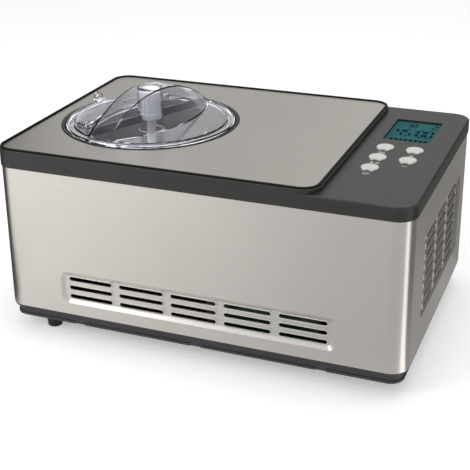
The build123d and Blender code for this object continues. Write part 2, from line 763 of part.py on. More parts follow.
def spur_gear(teeth, bore_radius):
    """A straight gear with tapered teeth, one of them centred on +X, from z = 0 up."""
    pitch_radius = gear_module * teeth / 2
    tip, root = pitch_radius + tooth_head * gear_module, pitch_radius - tooth_foot * gear_module
    half_pitch_thickness = (pi * gear_module / 2 - gear_backlash) / 2
    slope = tan(radians(pressure_angle))
    half_tip = half_pitch_thickness - (tip - pitch_radius) * slope
    half_root = half_pitch_thickness + (pitch_radius - root) * slope
    sunk = root - tooth_root_sink
    tooth = Polygon((sunk, -half_root), (tip, -half_tip), (tip, half_tip), (sunk, half_root), align=None)
    outline = Circle(root) + [Rot(0, 0, 360 * i / teeth) * tooth for i in range(teeth)]
    return extrude(outline - Circle(bore_radius), amount=gear_width)


def drive_gear():
    gear = spur_gear(gear_teeth, shaft_radius + running_clearance)
    reach = gear_module * gear_teeth / 2 * lightening_reach
    holes = [Rot(0, 0, 360 * i / lightening_holes) * post(reach, 0, lightening_radius, -gear_width,
                                                          2 * gear_width)
             for i in range(lightening_holes)]
    return at(*bowl_centre, gear_low_z) * (gear - holes)


def motor_pinion():
    """The pinion on the motor's own shaft, which runs down into the motor's bearing."""
    pinion = at(motor_x, motor_y, gear_low_z) * spur_gear(pinion_teeth, motor_shaft_radius - bite)
    return pinion + post(motor_x, motor_y, motor_shaft_radius, gearbox_floor_z - shaft_engagement,
                         gear_low_z + gear_width + pinion_hub_proud)


def drive_shaft():
    round_top = shaft_top_z - square_height
    shaft = post(*bowl_centre, shaft_radius, gearbox_floor_z + shaft_end_gap, round_top)
    end = at(*bowl_centre, round_top + square_height / 2) * Box(shaft_square, shaft_square, square_height)
    end = chamfer(end.edges().group_by(Axis.Z)[-1], square_chamfer)
    return shaft + end


def gearbox_outline(grow):
    big = Circle(gear_module * (gear_teeth / 2 + tooth_head) + gearbox_gap + grow)
    small = Circle(gear_module * (pinion_teeth / 2 + tooth_head) + gearbox_gap + pinion_gap + grow)
    return make_hull(big.edges() + (at(centre_distance, 0) * small).edges())


gearbox_leg_radius = 4.5
gearbox_leg_angles = (60.0, 140.0, 220.0, 300.0)
gearbox_cover_plate = 2.0


def gearbox_leg_places():
    reach = gear_module * gear_teeth / 2 + gearbox_gap
    return [(bowl_axis_x + reach * cos(radians(a)), bowl_axis_y + reach * sin(radians(a)))
            for a in gearbox_leg_angles]


def gearbox_housing():
    """The open gear case: floor, wall and four legs that stand on the tray."""
    floor_top = gearbox_floor_z + gearbox_plate
    case = extrude(gearbox_outline(gearbox_wall), amount=gearbox_top_z - gearbox_floor_z)
    case -= at(0, 0, gearbox_plate) * extrude(gearbox_outline(0), amount=gearbox_top_z)
    case = at(*bowl_centre, gearbox_floor_z) * case
    case -= post(*bowl_centre, shaft_radius + running_clearance, 0, floor_top + pass_by)
    case -= post(motor_x, motor_y, motor_shaft_radius + bite, 0, floor_top + pass_by)
    for x, y in gearbox_leg_places():
        case += post(x, y, gearbox_leg_radius, tray_floor_z, gearbox_floor_z + bite)
    return case


def gearbox_cover():
    plate = at(*bowl_centre, gearbox_top_z) * extrude(gearbox_outline(gearbox_wall),
                                                      amount=gearbox_cover_plate)
    return plate - post(*bowl_centre, shaft_radius + bushing_wall + running_clearance, 0,
                        insulation_bottom_z)


def shaft_bushing():
    outer = shaft_radius + bushing_wall
    inner = shaft_radius + running_clearance
    low, top = gearbox_top_z, insulation_bottom_z
    step = low + gearbox_cover_plate
    points = [(inner, low), (outer, low), (outer, step), (outer + bushing_flange, step),
              (outer + bushing_flange, top), (inner, top)]
    return turned(points, bowl_centre)


def paddle_motor():
    """A flat motor that hangs under the gear case."""
    low = tray_floor_z + motor_foot_gap
    top = gearbox_floor_z
    points = [(0, low + motor_edge), (motor_bearing_radius, low + motor_edge),
              (motor_bearing_radius, low), (motor_radius - motor_edge, low),
              (motor_radius, low + motor_edge), (motor_radius, top - motor_shoulder),
              (motor_radius - motor_shoulder, top), (0, top)]
    can = turned(points, (motor_x, motor_y))
    return can - post(motor_x, motor_y, motor_shaft_radius + running_clearance,
                      top - shaft_engagement - shaft_end_gap, top + pass_by)


# ---------------------------------------------------------------- paddle
paddle_gap = 0.6
hub_radius = 10.0
collar_radius = 11.2
collar_z = deck_z + 2.0
collar_height = 6.5
hub_top_z = deck_z + 33.0
stem_radius = 4.8
sleeve_wall = 3.0
sleeve_cap = 2.0
sleeve_shoulder = 10.0
socket_gap = 1.0
hub_edge = 1.0
collar_slope = 2.0
blade_thickness = 2.5
blade_side_gap = 2.4
blade_floor_gap = 2.0
blade_rim_drop = 32.2
blade_reach = bowl_inner_radius - blade_side_gap
blade_low_z = bowl_bottom_z + bowl_floor + blade_floor_gap
blade_top_z = rim_z - blade_rim_drop
blade_bow = 13.0
blade_angle = 65.0
window_foot = 16.0
window_head = 12.0
window_bar = 9.0
window_corner = 6.0
rib_count = 14
rib_size = 0.9
rib_width = 1.6


def paddle():
    """Ribbed hub, stem, square socket and two swept blades with windows."""
    sleeve_in = bowl_tube_radius + bowl_tube_wall + paddle_gap
    sleeve_out = sleeve_in + sleeve_wall
    socket_low = bowl_bottom_z + bowl_tube_height + socket_gap
    socket_top = shaft_top_z + socket_gap
    collar_top = collar_z + collar_height
    body = turned([(0, socket_low), (sleeve_in, socket_low), (sleeve_in, blade_low_z),
                   (sleeve_out, blade_low_z), (sleeve_out, socket_top + sleeve_cap),
                   (stem_radius, socket_top + sleeve_cap + sleeve_shoulder),
                   (stem_radius, collar_z - hub_edge), (collar_radius - collar_slope, collar_z),
                   (collar_radius, collar_z + hub_edge), (collar_radius, collar_top),
                   (hub_radius, collar_top + hub_edge), (hub_radius, hub_top_z - hub_edge),
                   (hub_radius - hub_edge, hub_top_z), (0, hub_top_z)], bowl_centre)
    rib_top = hub_top_z - hub_edge - bite
    rib = Box(2 * rib_size, rib_width, rib_top - collar_top)
    body += [at(*bowl_centre, (rib_top + collar_top) / 2) * Rot(0, 0, 360 * i / rib_count)
             * at(hub_radius, 0) * rib for i in range(rib_count)]
    half = shaft_square / 2 + square_clearance
    body -= block(bowl_axis_x - half, bowl_axis_x + half, bowl_axis_y - half, bowl_axis_y + half,
                  socket_low - running_clearance, socket_top)
    for turn in (0, 180):
        body += at(*bowl_centre) * Rot(0, 0, turn + blade_angle) * paddle_blade(sleeve_in + bite)
    return body


def paddle_blade(root):
    """One blade: an upright curved wall from the sleeve to the bowl's side, with two windows."""
    middle = (root + blade_reach) / 2
    face = make_face(ThreePointArc((root, 0), (middle, -blade_bow), (blade_reach, 0))
                     + Line((blade_reach, 0), (blade_reach, blade_thickness))
                     + ThreePointArc((blade_reach, blade_thickness),
                                     (middle, blade_thickness - blade_bow), (root, blade_thickness))
                     + Line((root, blade_thickness), (root, 0)))
    blade = at(0, 0, blade_low_z) * extrude(face, amount=blade_top_z - blade_low_z)
    low, high = blade_low_z + window_foot, blade_top_z - window_head
    width = (blade_reach - root - 3 * window_bar) / 2
    for i in (0, 1):
        x_mid = root + window_bar * (i + 1) + width * (i + 0.5)
        window = extrude(RectangleRounded(width, high - low, window_corner), amount=2 * blade_bow,
                         both=True)
        blade -= Location((x_mid, 0, (low + high) / 2)) * Rot(90, 0, 0) * window
    return blade


# ---------------------------------------------------------------- lid and refill flap
grip_angle = 75.5               # the grip's long axis, from +X
web_angle = 65.6                # the web runs from corner to corner of the grip
tab_angle = 155.6               # the flap's finger tab, seen from the bowl's axis
lid_overhang = 2.0              # lid beyond the bowl's rim
lid_radius = rim_radius + lid_overhang
grip_end_inset = 7.5
grip_half_length = lid_radius - grip_end_inset
grip_half_width = 42.0          # of the foot, at the middle
grip_band = 14.5                # half the width of the flat top
grip_rise = 34.5                # above the lid's floor
grip_run_out = 10.0             # the foot's outline runs this far past the arch's ends
lid_wall = 2.0
lid_floor_top_z = deck_z + 2.8
lid_floor_z = lid_floor_top_z - lid_wall
lid_seat_z = rim_z + seat_gap
skirt_radius = bowl_inner_radius - 1.0
skirt_low_z = rim_z - 5.0
lid_edge_height = 3.4
lid_edge_round = 1.2
lid_groove = 1.2
lid_rim_width = 4.0
tube_inner_radius = collar_radius + paddle_gap
tube_wall = 1.7
tube_outer_radius = tube_inner_radius + tube_wall
tube_low_z = deck_z - 9.5
cap_sink = 1.0
cap_top_z = lid_floor_top_z + grip_rise - cap_sink
hub_head_room = 1.0
web_thickness = 2.2
web_height = 8.0
grip_taper = degrees(atan((grip_half_width - grip_band) / grip_rise))
flap_gap = 2.5                  # between the grip's foot and the flap
flap_radius = lid_radius - 11.5
flap_thickness = 2.0
flap_lift = 0.4                 # flap above the lid's floor
flap_low_z = lid_floor_top_z + flap_lift
flap_plug_inset = 5.0
flap_plug_gap = 0.8
flap_plug_wall = 1.5
flap_rim_inset = 1.5
flap_rim_width = 1.7
flap_rim_height = 1.2
flap_half_length = lid_radius - 28.5
hinge_t = grip_half_width - 11.0    # hinge line, from the grip's long axis
hinge_z = flap_low_z + 3.2
knuckle_radius = 2.6
knuckle_length = 4.0
knuckle_root = 8.0
lug_length = 3.5
lug_gap = 0.4
pin_radius = 1.2
tab_width = 11.0
tab_root = 3.0
tab_thickness = 2.0
tab_reach = lid_radius + 2.5
tab_height = 9.0
tab_hole_radius = 2.4


def grip_outline(shrink):
    """The foot of the grip in plan, along +X: two shallow arcs closed by straight ends."""
    rise = grip_half_width - grip_band
    ends = grip_half_length + grip_run_out
    edge = grip_half_width - rise * (ends / grip_half_length) ** 2 - shrink
    middle = grip_half_width - shrink
    ends = ends - shrink
    return make_face(
        ThreePointArc((-ends, -edge), (0, -middle), (ends, -edge)) + Line((ends, -edge), (ends, edge))
        + ThreePointArc((ends, edge), (0, middle), (-ends, edge)) + Line((-ends, edge), (-ends, -edge)))


def grip_solid(shrink, bottom_z):
    """The grip's outer body, or with a shrink the hollow in it, along +X."""
    depth_below = lid_floor_top_z - bottom_z
    foot_shape = at(0, 0, lid_floor_top_z) * extrude(grip_outline(shrink), amount=grip_rise,
                                                     taper=grip_taper)
    if depth_below > 0:
        foot_shape += at(0, 0, bottom_z) * extrude(grip_outline(shrink),
                                                   amount=depth_below + running_clearance)
    rise = grip_rise - shrink
    reach = grip_half_length - shrink
    drop = bottom_z - lid_floor_top_z - pass_by
    arch = make_face(
        ThreePointArc((-reach, 0, 0), (0, 0, rise), (reach, 0, 0))
        + Polyline((reach, 0, 0), (reach, 0, drop), (-reach, 0, drop), (-reach, 0, 0)))
    profile = at(0, 0, lid_floor_top_z) * extrude(arch, amount=lid_radius, both=True, dir=(0, 1, 0))
    return foot_shape & profile


def flap_outline(inset):
    """The refill flap in plan: inner edge along the grip's foot, outer edge round the lid."""
    half = flap_half_length - inset
    field = at(0, flap_radius / 2 + flap_plug_inset) * Rectangle(2 * half, flap_radius)
    region = (Circle(flap_radius - inset) & field) - grip_outline(-flap_gap - inset)
    return [f for f in region.faces() if f.center().Y > 0][0]


def in_grip_frame(solid):
    return at(*bowl_centre) * Rot(0, 0, grip_angle) * solid


def lid():
    seat, top = lid_seat_z, lid_floor_top_z
    edge_z = seat + lid_edge_height
    groove_z = top - lid_groove
    groove_out = lid_radius - lid_rim_width - 1.0
    groove_in = groove_out - 2.0
    ring = turned([(0, lid_floor_z), (skirt_radius - lid_wall, lid_floor_z),
                   (skirt_radius - lid_wall, skirt_low_z), (skirt_radius, skirt_low_z),
                   (skirt_radius, seat), (lid_radius, seat),
                   (lid_radius, edge_z - lid_edge_round), (lid_radius - lid_edge_round, edge_z),
                   (lid_radius - lid_rim_width, edge_z), (groove_out, groove_z),
                   (groove_in, groove_z), (groove_in - lid_groove, top), (0, top)])
    body = ring + grip_solid(0, lid_floor_z)
    body -= grip_solid(lid_wall, lid_floor_z - pass_by)
    body -= at(0, 0, lid_floor_z - pass_by) * extrude(flap_outline(flap_plug_inset - flap_plug_gap),
                                                      amount=lid_wall + 2 * pass_by)
    body += post(0, 0, tube_outer_radius, tube_low_z, cap_top_z)
    body -= post(0, 0, tube_inner_radius, tube_low_z - pass_by, hub_top_z + hub_head_room)
    web_box = block(tube_inner_radius + bite, grip_half_length, -web_thickness / 2, web_thickness / 2,
                    lid_floor_z, lid_floor_z + web_height)
    web = Rot(0, 0, web_angle - grip_angle) * web_box & grip_solid(lid_wall / 2, lid_floor_z)
    body += [web, Rot(0, 0, 180) * web]
    for side in (-1, 1):
        body += hinge_lug(side)
    return in_grip_frame(body)


knuckle_start = flap_half_length - knuckle_length
lug_start = flap_half_length + lug_gap


def span(side, low, high):
    return (low, high) if side > 0 else (-high, -low)


def hinge_lug(side):
    x_low, x_high = span(side, lug_start, lug_start + lug_length)
    lug = rod_x(hinge_t, hinge_z, knuckle_radius, x_low, x_high)
    lug += block(x_low, x_high, hinge_t - knuckle_radius, hinge_t + knuckle_radius,
                 lid_floor_top_z - bite, hinge_z)
    return lug - rod_x(hinge_t, hinge_z, pin_radius, x_low - pass_by, x_high + pass_by)


def flap_pin(side):
    x_low, x_high = span(side, knuckle_start + bite, lug_start + lug_length)
    return in_grip_frame(rod_x(hinge_t, hinge_z, pin_radius, x_low, x_high))


def finger_tab():
    """The tongue past the flap's edge and the upright loop that a finger lifts it by."""
    half, top = tab_width / 2, flap_low_z + flap_thickness
    loop_z = flap_low_z + tab_height - half
    tongue = block(-half, half, flap_radius - tab_root, tab_reach, flap_low_z, top)
    loop = block(-half, half, tab_reach - tab_thickness, tab_reach, flap_low_z, loop_z)
    loop += rod_y(0, loop_z, half, tab_reach - tab_thickness, tab_reach)
    return tongue + loop - rod_y(0, loop_z, tab_hole_radius, tab_reach - tab_thickness - pass_by,
                                 tab_reach + pass_by)


def refill_flap():
    """The flap: plate, raised rim, plug below, two knuckles and the finger tab."""
    top = flap_low_z + flap_thickness
    plate = at(0, 0, flap_low_z) * extrude(flap_outline(0), amount=flap_thickness)
    plug_depth = flap_low_z - lid_floor_z
    plate += at(0, 0, lid_floor_z + seat_gap) * extrude(flap_outline(flap_plug_inset), amount=plug_depth)
    plate -= at(0, 0, lid_floor_z) * extrude(flap_outline(flap_plug_inset + flap_plug_wall),
                                             amount=plug_depth)
    rim = extrude(flap_outline(flap_rim_inset), amount=flap_rim_height) \
        - extrude(flap_outline(flap_rim_inset + flap_rim_width), amount=flap_rim_height)
    plate += at(0, 0, top) * rim
    for side in (-1, 1):
        x_low, x_high = span(side, knuckle_start, flap_half_length)
        plate += rod_x(hinge_t, hinge_z, knuckle_radius, x_low, x_high)
        plate += block(x_low, x_high, hinge_t, hinge_t + knuckle_root, flap_low_z, top)
        plate -= rod_x(hinge_t, hinge_z, pin_radius + running_clearance, x_low - pass_by,
                       x_high + pass_by)
    tab = Rot(0, 0, tab_angle - grip_angle - 90) * finger_tab()
    return in_grip_frame(plate + tab)


# ---------------------------------------------------------------- refrigeration
shell_low_z = 34.0
works_head = 34.0               # from the works' top to the wrap's top edge
works_top_z = wrap_top_z - works_head
shell_height = works_top_z - shell_low_z
seam_height = 3.0
seam_share = 0.56               # of the shell's height
shell_bowl = ((0.6, 0.0), (0.9, 6.0), (1.0, 18.0))     # share of the radius, rise over the bottom
shell_dome = ((1.0, 26.0), (0.88, 11.0), (0.55, 2.0))  # share of the radius, depth under the top
saddle_share = 0.6              # the saddle's ring and its bore, as shares of the radius
saddle_bore_share = 0.5
plate_bore_share = 0.45
mount_plate = 2.5
mount_plate_z = 29.0
mount_plate_margin = 11.0
mount_plate_corner = 10.0
grommet_radius = 8.5
grommet_lip = 3.0
grommet_edge = 1.0
grommet_neck = 6.0
grommet_hole = 2.5
bolt_shank_radius = 2.3
bolt_head_radius = 5.0
bolt_head_height = 4.0
washer_radius = 7.0
washer_thickness = 2.0
stub_wall = 1.0
stub_length = 12.0
stub_sink = 3.0
stub_root = 4.0                 # the upper stub's length inside and outside the shell
stub_rise = 6.0
condenser_width = body_depth - 130.0
condenser_low_z = 38.0
condenser_height = works_top_z - condenser_low_z
condenser_end_field = 6.0
fin_pitch = 9.0
fin_slot = 6.0
fin_slot_depth = 8.5
end_plate = 1.5
end_plate_rise = 3.0
shroud_size = condenser_height
fan_z = condenser_low_z + condenser_height / 2
fan_y = condenser_y
fan_rim = 9.0                   # from the fan's tips to the shroud's outside
fan_radius = shroud_size / 2 - fan_rim
fan_hub_radius = 15.0
fan_hub_round = 2.0
fan_clearance = 2.5
fan_blades_count = 5
fan_width = 9.0
fan_setback = 3.0
fan_root_angle, fan_tip_angle = 50.0, 68.0
fan_root_size = (1.8, 15.0)
fan_tip_size = (1.4, 26.0)
fan_tip_trim = 0.5
fan_motor_radius = 20.0
fan_motor_chamfer = 2.0
fan_shaft_radius = 1.5
strut_width = 7.0
strut_pad = 4.0
strut_count = 3
spider_hole_radius = 4.0
shroud_leg_width = 10.0
shroud_leg_depth = 6.0
shroud_leg_spread = 44.0
fan_x = shroud_x + fan_setback
fan_strut_x = shroud_x - fan_strut - fan_strut_gap
pipe_radius = 2.6
pipe_bend = 7.0
pipe_stand_off = 14.0           # from the condenser's end plate to the pipe before it
pipe_offset = 6.0               # pipes on either side of the condenser's middle
pipe_top_drop = 2.0
discharge_z = shell_low_z + 40.0
suction_y = compressor_y + 10.0
suction_z = coil_top_z
capillary_radius = 1.2
capillary_bend = 5.0
capillary_x = compressor_x - 52.0
capillary_y = bowl_axis_y - 64.5
capillary_z = coil_low_z


def compressor_shell():
    """The hermetic shell with its welded seam."""
    r, low, top = shell_radius, shell_low_z, shell_low_z + shell_height
    seam_z = low + shell_height * seam_share
    bowl_points = [(r * share, low + rise) for share, rise in shell_bowl]
    seam_points = [(r, seam_z), (r + seam_width, seam_z), (r + seam_width, seam_z + seam_height),
                   (r, seam_z + seam_height)]
    dome_points = [(r * share, top - depth) for share, depth in shell_dome]
    points = [(0, low)] + bowl_points + seam_points + dome_points + [(0, top)]
    return turned(points, (compressor_x, compressor_y))


def mounting_plate():
    """The pressed plate under the shell, with its grommet holes and the saddle's ring."""
    size = compressor_foot_pitch + 2 * mount_plate_margin
    top = mount_plate_z + mount_plate
    centre = (compressor_x, compressor_y)
    plate = rounded_block(size, size, mount_plate_corner, mount_plate_z, top, centre)
    plate -= post(*centre, shell_radius * plate_bore_share, 0, top + pass_by)
    for x, y in compressor_foot_places():
        plate -= post(x, y, grommet_neck + bite / 5, 0, top + pass_by)
    saddle = post(*centre, shell_radius * saddle_share, top - bite, shell_low_z + bite)
    saddle -= post(*centre, shell_radius * saddle_bore_share, 0, shell_low_z + pass_by)
    return plate + saddle


def compressor():
    """Shell and mounting plate, with the stubs that the pipes join."""
    side_y = compressor_y - shell_radius + stub_sink
    top_z = shell_low_z + shell_height
    discharge_stub = rod_y(compressor_x, discharge_z, pipe_radius + stub_wall, side_y - stub_length,
                           side_y)
    suction_stub = post(compressor_x, suction_y, pipe_radius + stub_wall, top_z - stub_root,
                        top_z + stub_rise)
    return compressor_shell() + mounting_plate() + discharge_stub + suction_stub


def grommet(place):
    low = tray_floor_z + compressor_boss_height
    plate_top = mount_plate_z + mount_plate
    top = plate_top + grommet_lip
    points = [(grommet_hole, low), (grommet_radius, low), (grommet_radius, mount_plate_z),
              (grommet_neck, mount_plate_z), (grommet_neck, plate_top), (grommet_radius, plate_top),
              (grommet_radius - grommet_edge, top), (grommet_hole, top)]
    return turned(points, place)


def compressor_bolt(place):
    x, y = place
    seat_z = mount_plate_z + mount_plate + grommet_lip
    head_z = seat_z + washer_thickness
    head = at(x, y, head_z) * extrude(RegularPolygon(bolt_head_radius, 6), amount=bolt_head_height)
    washer = post(x, y, washer_radius, seat_z, head_z)
    shank = post(x, y, bolt_shank_radius, tray_floor_z + compressor_boss_height, seat_z + bite)
    return head + washer + shank


terminal_angle = -35.0
terminal_low_z = 44.0
terminal_high_z = 90.0
terminal_width = 44.0
terminal_depth = 26.0
terminal_corner = 4.0
terminal_stand_off = 6.0


def terminal_cover():
    """The hollow cover over the compressor's terminals and relay, hugging the shell."""
    centre = (0, -shell_radius - terminal_stand_off)
    low, high = terminal_low_z, terminal_high_z
    body = rounded_block(terminal_width, terminal_depth, terminal_corner, low, high, centre)
    body -= rounded_block(terminal_width - 2 * wall, terminal_depth - 2 * wall, terminal_corner / 2,
                          low + wall, high - wall, centre)
    body -= post(0, 0, shell_radius + seat_gap, low - pass_by, high + pass_by)
    return at(compressor_x, compressor_y) * Rot(0, 0, terminal_angle) * body


def condenser():
    """The finned block: deep slots between the fins on both faces, legs to the tray."""
    x_low, x_high = condenser_front_x, condenser_front_x + condenser_thickness
    y_low, y_high = condenser_y - condenser_width / 2, condenser_y + condenser_width / 2
    top_z = condenser_low_z + condenser_height
    core = block(x_low, x_high, y_low, y_high, condenser_low_z, top_z)
    count = int((condenser_width - condenser_end_field) / fin_pitch)
    first = condenser_y - (count - 1) * fin_pitch / 2
    slots = []
    for i in range(count):
        y = first + i * fin_pitch
        for x in (x_low, x_high):
            slots.append(block(x - fin_slot_depth, x + fin_slot_depth, y - fin_slot / 2,
                               y + fin_slot / 2, condenser_low_z - pass_by, top_z + pass_by))
    core = core - slots
    for y in (y_low, y_high):
        core += block(x_low, x_high, y - end_plate, y + end_plate, tray_floor_z,
                      top_z + end_plate_rise)
    return core


tube_rows = 4


def condenser_tubes():
    """Return bends on both ends of the finned block."""
    bends = []
    pitch = condenser_height / (tube_rows * 2)
    for row in range(tube_rows):
        for side in (-1, 1):
            z = condenser_low_z + pitch * (2 * row + 1 + side / 4)
            y = condenser_y + side * (condenser_width / 2 + end_plate)
            arc = ThreePointArc((condenser_x, y, z - pitch / 2), (condenser_x, y + side * pitch / 2, z),
                                (condenser_x, y, z + pitch / 2))
            bends.append(sweep(Plane(origin=arc @ 0, z_dir=arc % 0) * Circle(pipe_radius), path=arc))
    return Compound(children=bends)


def fan_shroud():
    """A square duct on the condenser with three struts that carry the fan's motor."""
    half = shroud_size / 2
    back_x = condenser_front_x - seat_gap
    frame = block(shroud_x, back_x, fan_y - half, fan_y + half, condenser_low_z,
                  condenser_low_z + shroud_size)
    frame -= rod_x(fan_y, fan_z, fan_radius + fan_clearance, shroud_x - pass_by, back_x + pass_by)
    reach = half - bite
    plate_x = fan_strut_x + fan_strut / 2 - shroud_x
    spider = rod_x(fan_y, fan_z, fan_motor_radius - fan_motor_chamfer, fan_strut_x,
                   fan_strut_x + fan_strut)
    pad_length = fan_strut + fan_strut_gap + bite
    for i in range(strut_count):
        turn = Location((shroud_x, fan_y, fan_z)) * Rot(360 / strut_count * i, 0, 0)
        spider += turn * at(plate_x, reach / 2, 0) * Box(fan_strut, reach, strut_width)
        spider += turn * at(bite - pad_length / 2, reach - strut_pad / 2, 0) \
            * Box(pad_length, strut_pad, strut_width)
    spider -= rod_x(fan_y, fan_z, spider_hole_radius, fan_strut_x - pass_by, shroud_x)
    leg = shroud_leg_width / 2
    legs = [block(shroud_x, shroud_x + shroud_leg_depth, fan_y + j * shroud_leg_spread - leg,
                  fan_y + j * shroud_leg_spread + leg, tray_floor_z, condenser_low_z + pass_by)
            for j in (-1, 1)]
    return frame + spider + legs


def fan_motor():
    low, high = fan_strut_x - fan_motor_length, fan_strut_x
    can = rod_x(fan_y, fan_z, fan_motor_radius, low, high)
    can = chamfer(can.edges().group_by(Axis.X)[0], fan_motor_chamfer)
    return can - rod_x(fan_y, fan_z, fan_shaft_radius + running_clearance,
                       high - shaft_engagement - shaft_end_gap, high + pass_by)


def fan_blades():
    """Hub, five pitched blades and the shaft that turns in the fan's motor."""
    hub = Cylinder(fan_hub_radius, fan_width)
    hub = fillet(hub.edges().group_by(Axis.Z)[-1], fan_hub_round)
    root = at(0, 0, fan_hub_radius - pass_by) * Rot(0, 0, fan_root_angle) * Rectangle(*fan_root_size)
    tip = at(0, 0, fan_radius) * Rot(0, 0, fan_tip_angle) * Rectangle(*fan_tip_size)
    blade = Rot(0, 90, 0) * loft([root, tip])
    band = Cylinder(fan_radius - fan_tip_trim, fan_width)
    wheel = hub + [(Rot(0, 0, 360 * i / fan_blades_count) * blade) & band for i in range(fan_blades_count)]
    wheel = Location((fan_x + fan_width / 2, fan_y, fan_z)) * Rot(0, 90, 0) * wheel
    return wheel + rod_x(fan_y, fan_z, fan_shaft_radius, fan_strut_x - shaft_engagement, fan_x + bite)


drier_radius = 8.0
drier_neck = 3.4
drier_cone = 8.0
drier_x = condenser_x - 41.0
drier_y = condenser_y - condenser_width / 2 - 25.0
drier_z = wrap_top_z - 60.0
drier_length = 56.0


def filter_drier():
    points = [(0, 0), (drier_neck, 0), (drier_radius, drier_cone),
              (drier_radius, drier_length - drier_cone), (drier_neck, drier_length), (0, drier_length)]
    return Location((drier_x, drier_y, drier_z)) * Rot(0, -90, 0) * turned(points)


def discharge_pipe():
    """From the compressor's stub to the condenser's inlet."""
    start_y = compressor_y - shell_radius + stub_sink - stub_length
    end_y = condenser_y - condenser_width / 2 - end_plate
    front_y = end_y - pipe_stand_off
    x, top_z = condenser_x - pipe_offset, condenser_low_z + condenser_height - pipe_top_drop
    return bent_tube([(compressor_x, start_y, discharge_z), (compressor_x, front_y, discharge_z),
                      (x, front_y, discharge_z), (x, front_y, top_z), (x, end_y, top_z)],
                     pipe_bend, pipe_radius)


def liquid_pipe():
    """From the condenser's outlet to the filter drier."""
    start_y = condenser_y - condenser_width / 2 - end_plate
    x, low_z = condenser_x + pipe_offset, condenser_low_z + pipe_offset
    return bent_tube([(x, start_y, low_z), (x, drier_y, low_z), (x, drier_y, drier_z),
                      (drier_x, drier_y, drier_z)], pipe_bend, pipe_radius)


def coil_contact_x(y, radius):
    """Where a tube of this radius, coming along X at this y, first meets a turn of the coil."""
    reach = coil_radius + coil_tube_radius
    return bowl_axis_x + sqrt(reach ** 2 - (abs(y - bowl_axis_y) - radius) ** 2)


def capillary_tube():
    """The thin tube from the drier to the evaporator's lowest turn."""
    x, end_x = capillary_x, coil_contact_x(capillary_y, capillary_radius)
    return bent_tube([(drier_x - drier_length, drier_y, drier_z), (x, drier_y, drier_z),
                      (x, drier_y, capillary_z), (x, capillary_y, capillary_z),
                      (end_x, capillary_y, capillary_z)], capillary_bend, capillary_radius)


def suction_pipe():
    """From the evaporator's top turn, through the foam, back to the compressor."""
    end_x = coil_contact_x(suction_y, pipe_radius)
    return bent_tube([(compressor_x, suction_y, shell_low_z + shell_height + stub_rise),
                      (compressor_x, suction_y, suction_z), (end_x, suction_y, suction_z)],
                     pipe_bend, pipe_radius)


# ---------------------------------------------------------------- electronics
board_corner = 2.0
connector_size = (26.0, 10.0)
connector_height = 8.0
connector_y = board_front_y + 36.0
chip_size = (14.0, 14.0)
chip_height = 2.0
chip_y = display_centre_y - 24.0
solder_sink = 0.2
pad_thickness = 1.5
pad_margin_x = 13.0
pad_margin_y = 11.0
dome_radius = 7.0
dome_top_radius = 4.0
button_flange_z = panel_z - 7.5
button_flange = 1.6
button_flange_height = 1.5
button_edge = 0.6
button_stem_radius = 3.0
button_stem_length = 2.0
module_margin = 2.5
module_lens_gap = 0.2
module_step = 0.8
module_frame = 2.0              # the module's frame over both sides of its display
control_screw_length = 9.0


def control_board():
    top = board_z + board_thickness
    board = rounded_block(*board_size, board_corner, board_z, top, (control_x, board_centre_y))
    for x, y in control_board_screw_places():
        board -= post(x, y, screw_radius + bite / 2, board_z - pass_by, top + pass_by)
    board += rounded_block(*connector_size, bite, board_z - connector_height, board_z + solder_sink,
                           (control_x, connector_y))
    return board + rounded_block(*chip_size, bite, board_z - chip_height, board_z + solder_sink,
                                 (control_x, chip_y))


def control_board_screw(place):
    x, y = place
    head = post(x, y, screw_head_radius, board_z - screw_head_height, board_z)
    return head + post(x, y, screw_radius - pilot_shrink, board_z - bite,
                       board_z + control_screw_length)


def display_module():
    low = board_z + board_thickness
    top = panel_z - wall - lens_thickness - module_lens_gap
    module = rounded_block(display_width + 2 * module_margin, display_length + 2 * module_margin,
                           board_corner, low, top, (control_x, display_centre_y))
    return module - rounded_block(display_width - module_frame, display_length - module_frame, pass_by,
                                  top - module_step, top + pass_by,
                                  (control_x, display_centre_y))


def display_window():
    top = panel_z - wall
    return rounded_block(display_width + 2 * lens_margin, display_length + 2 * lens_margin,
                         display_corner, top - lens_thickness, top, (control_x, display_centre_y))


def button(place):
    """A key cap: crowned top, retaining flange under the panel, and a stem."""
    x, y = place
    top = panel_z + button_proud
    shoulder = top - button_edge
    low = button_flange_z
    cap = at(0, 0, low) * extrude(button_outline(0), amount=shoulder - low)
    cap += loft([at(0, 0, shoulder) * button_outline(0), at(0, 0, top) * button_outline(-button_edge)])
    flange = at(0, 0, low) * extrude(button_outline(button_flange), amount=button_flange_height)
    stem = post(0, 0, button_stem_radius, low - button_stem_length, low + bite)
    return at(x, y) * (cap + flange + stem)


def button_pad():
    """The rubber mat on the board, with a dome under each key."""
    low = board_z + board_thickness
    top = low + pad_thickness
    places = list(button_places().values())
    y_low = min(y for _, y in places) - pad_margin_y
    y_high = max(y for _, y in places) + pad_margin_y
    half = button_pitch_x / 2 + pad_margin_x
    pad = block(control_x - half, control_x + half, y_low, y_high, low, top)
    dome_top = button_flange_z - button_stem_length - button_travel - seat_gap
    for place in places:
        pad += turned([(0, top - bite), (dome_radius, top - bite), (dome_radius, top),
                       (dome_top_radius, dome_top), (0, dome_top)], place)
    return pad


# Parts on the power board: x range from the board's middle, depth, and z range above its foot.
power_board_parts = {
    "transformer": (-40.0, -10.0, 22.0, 12.0, 40.0),
    "relay": (4.0, 22.0, 14.0, 30.0, 52.0),
    "terminals": (-36.0, 6.0, 9.0, 50.0, 60.0),
}
capacitor_offset = (32.0, 22.0)
capacitor_radius = 7.0
capacitor_length = 18.0


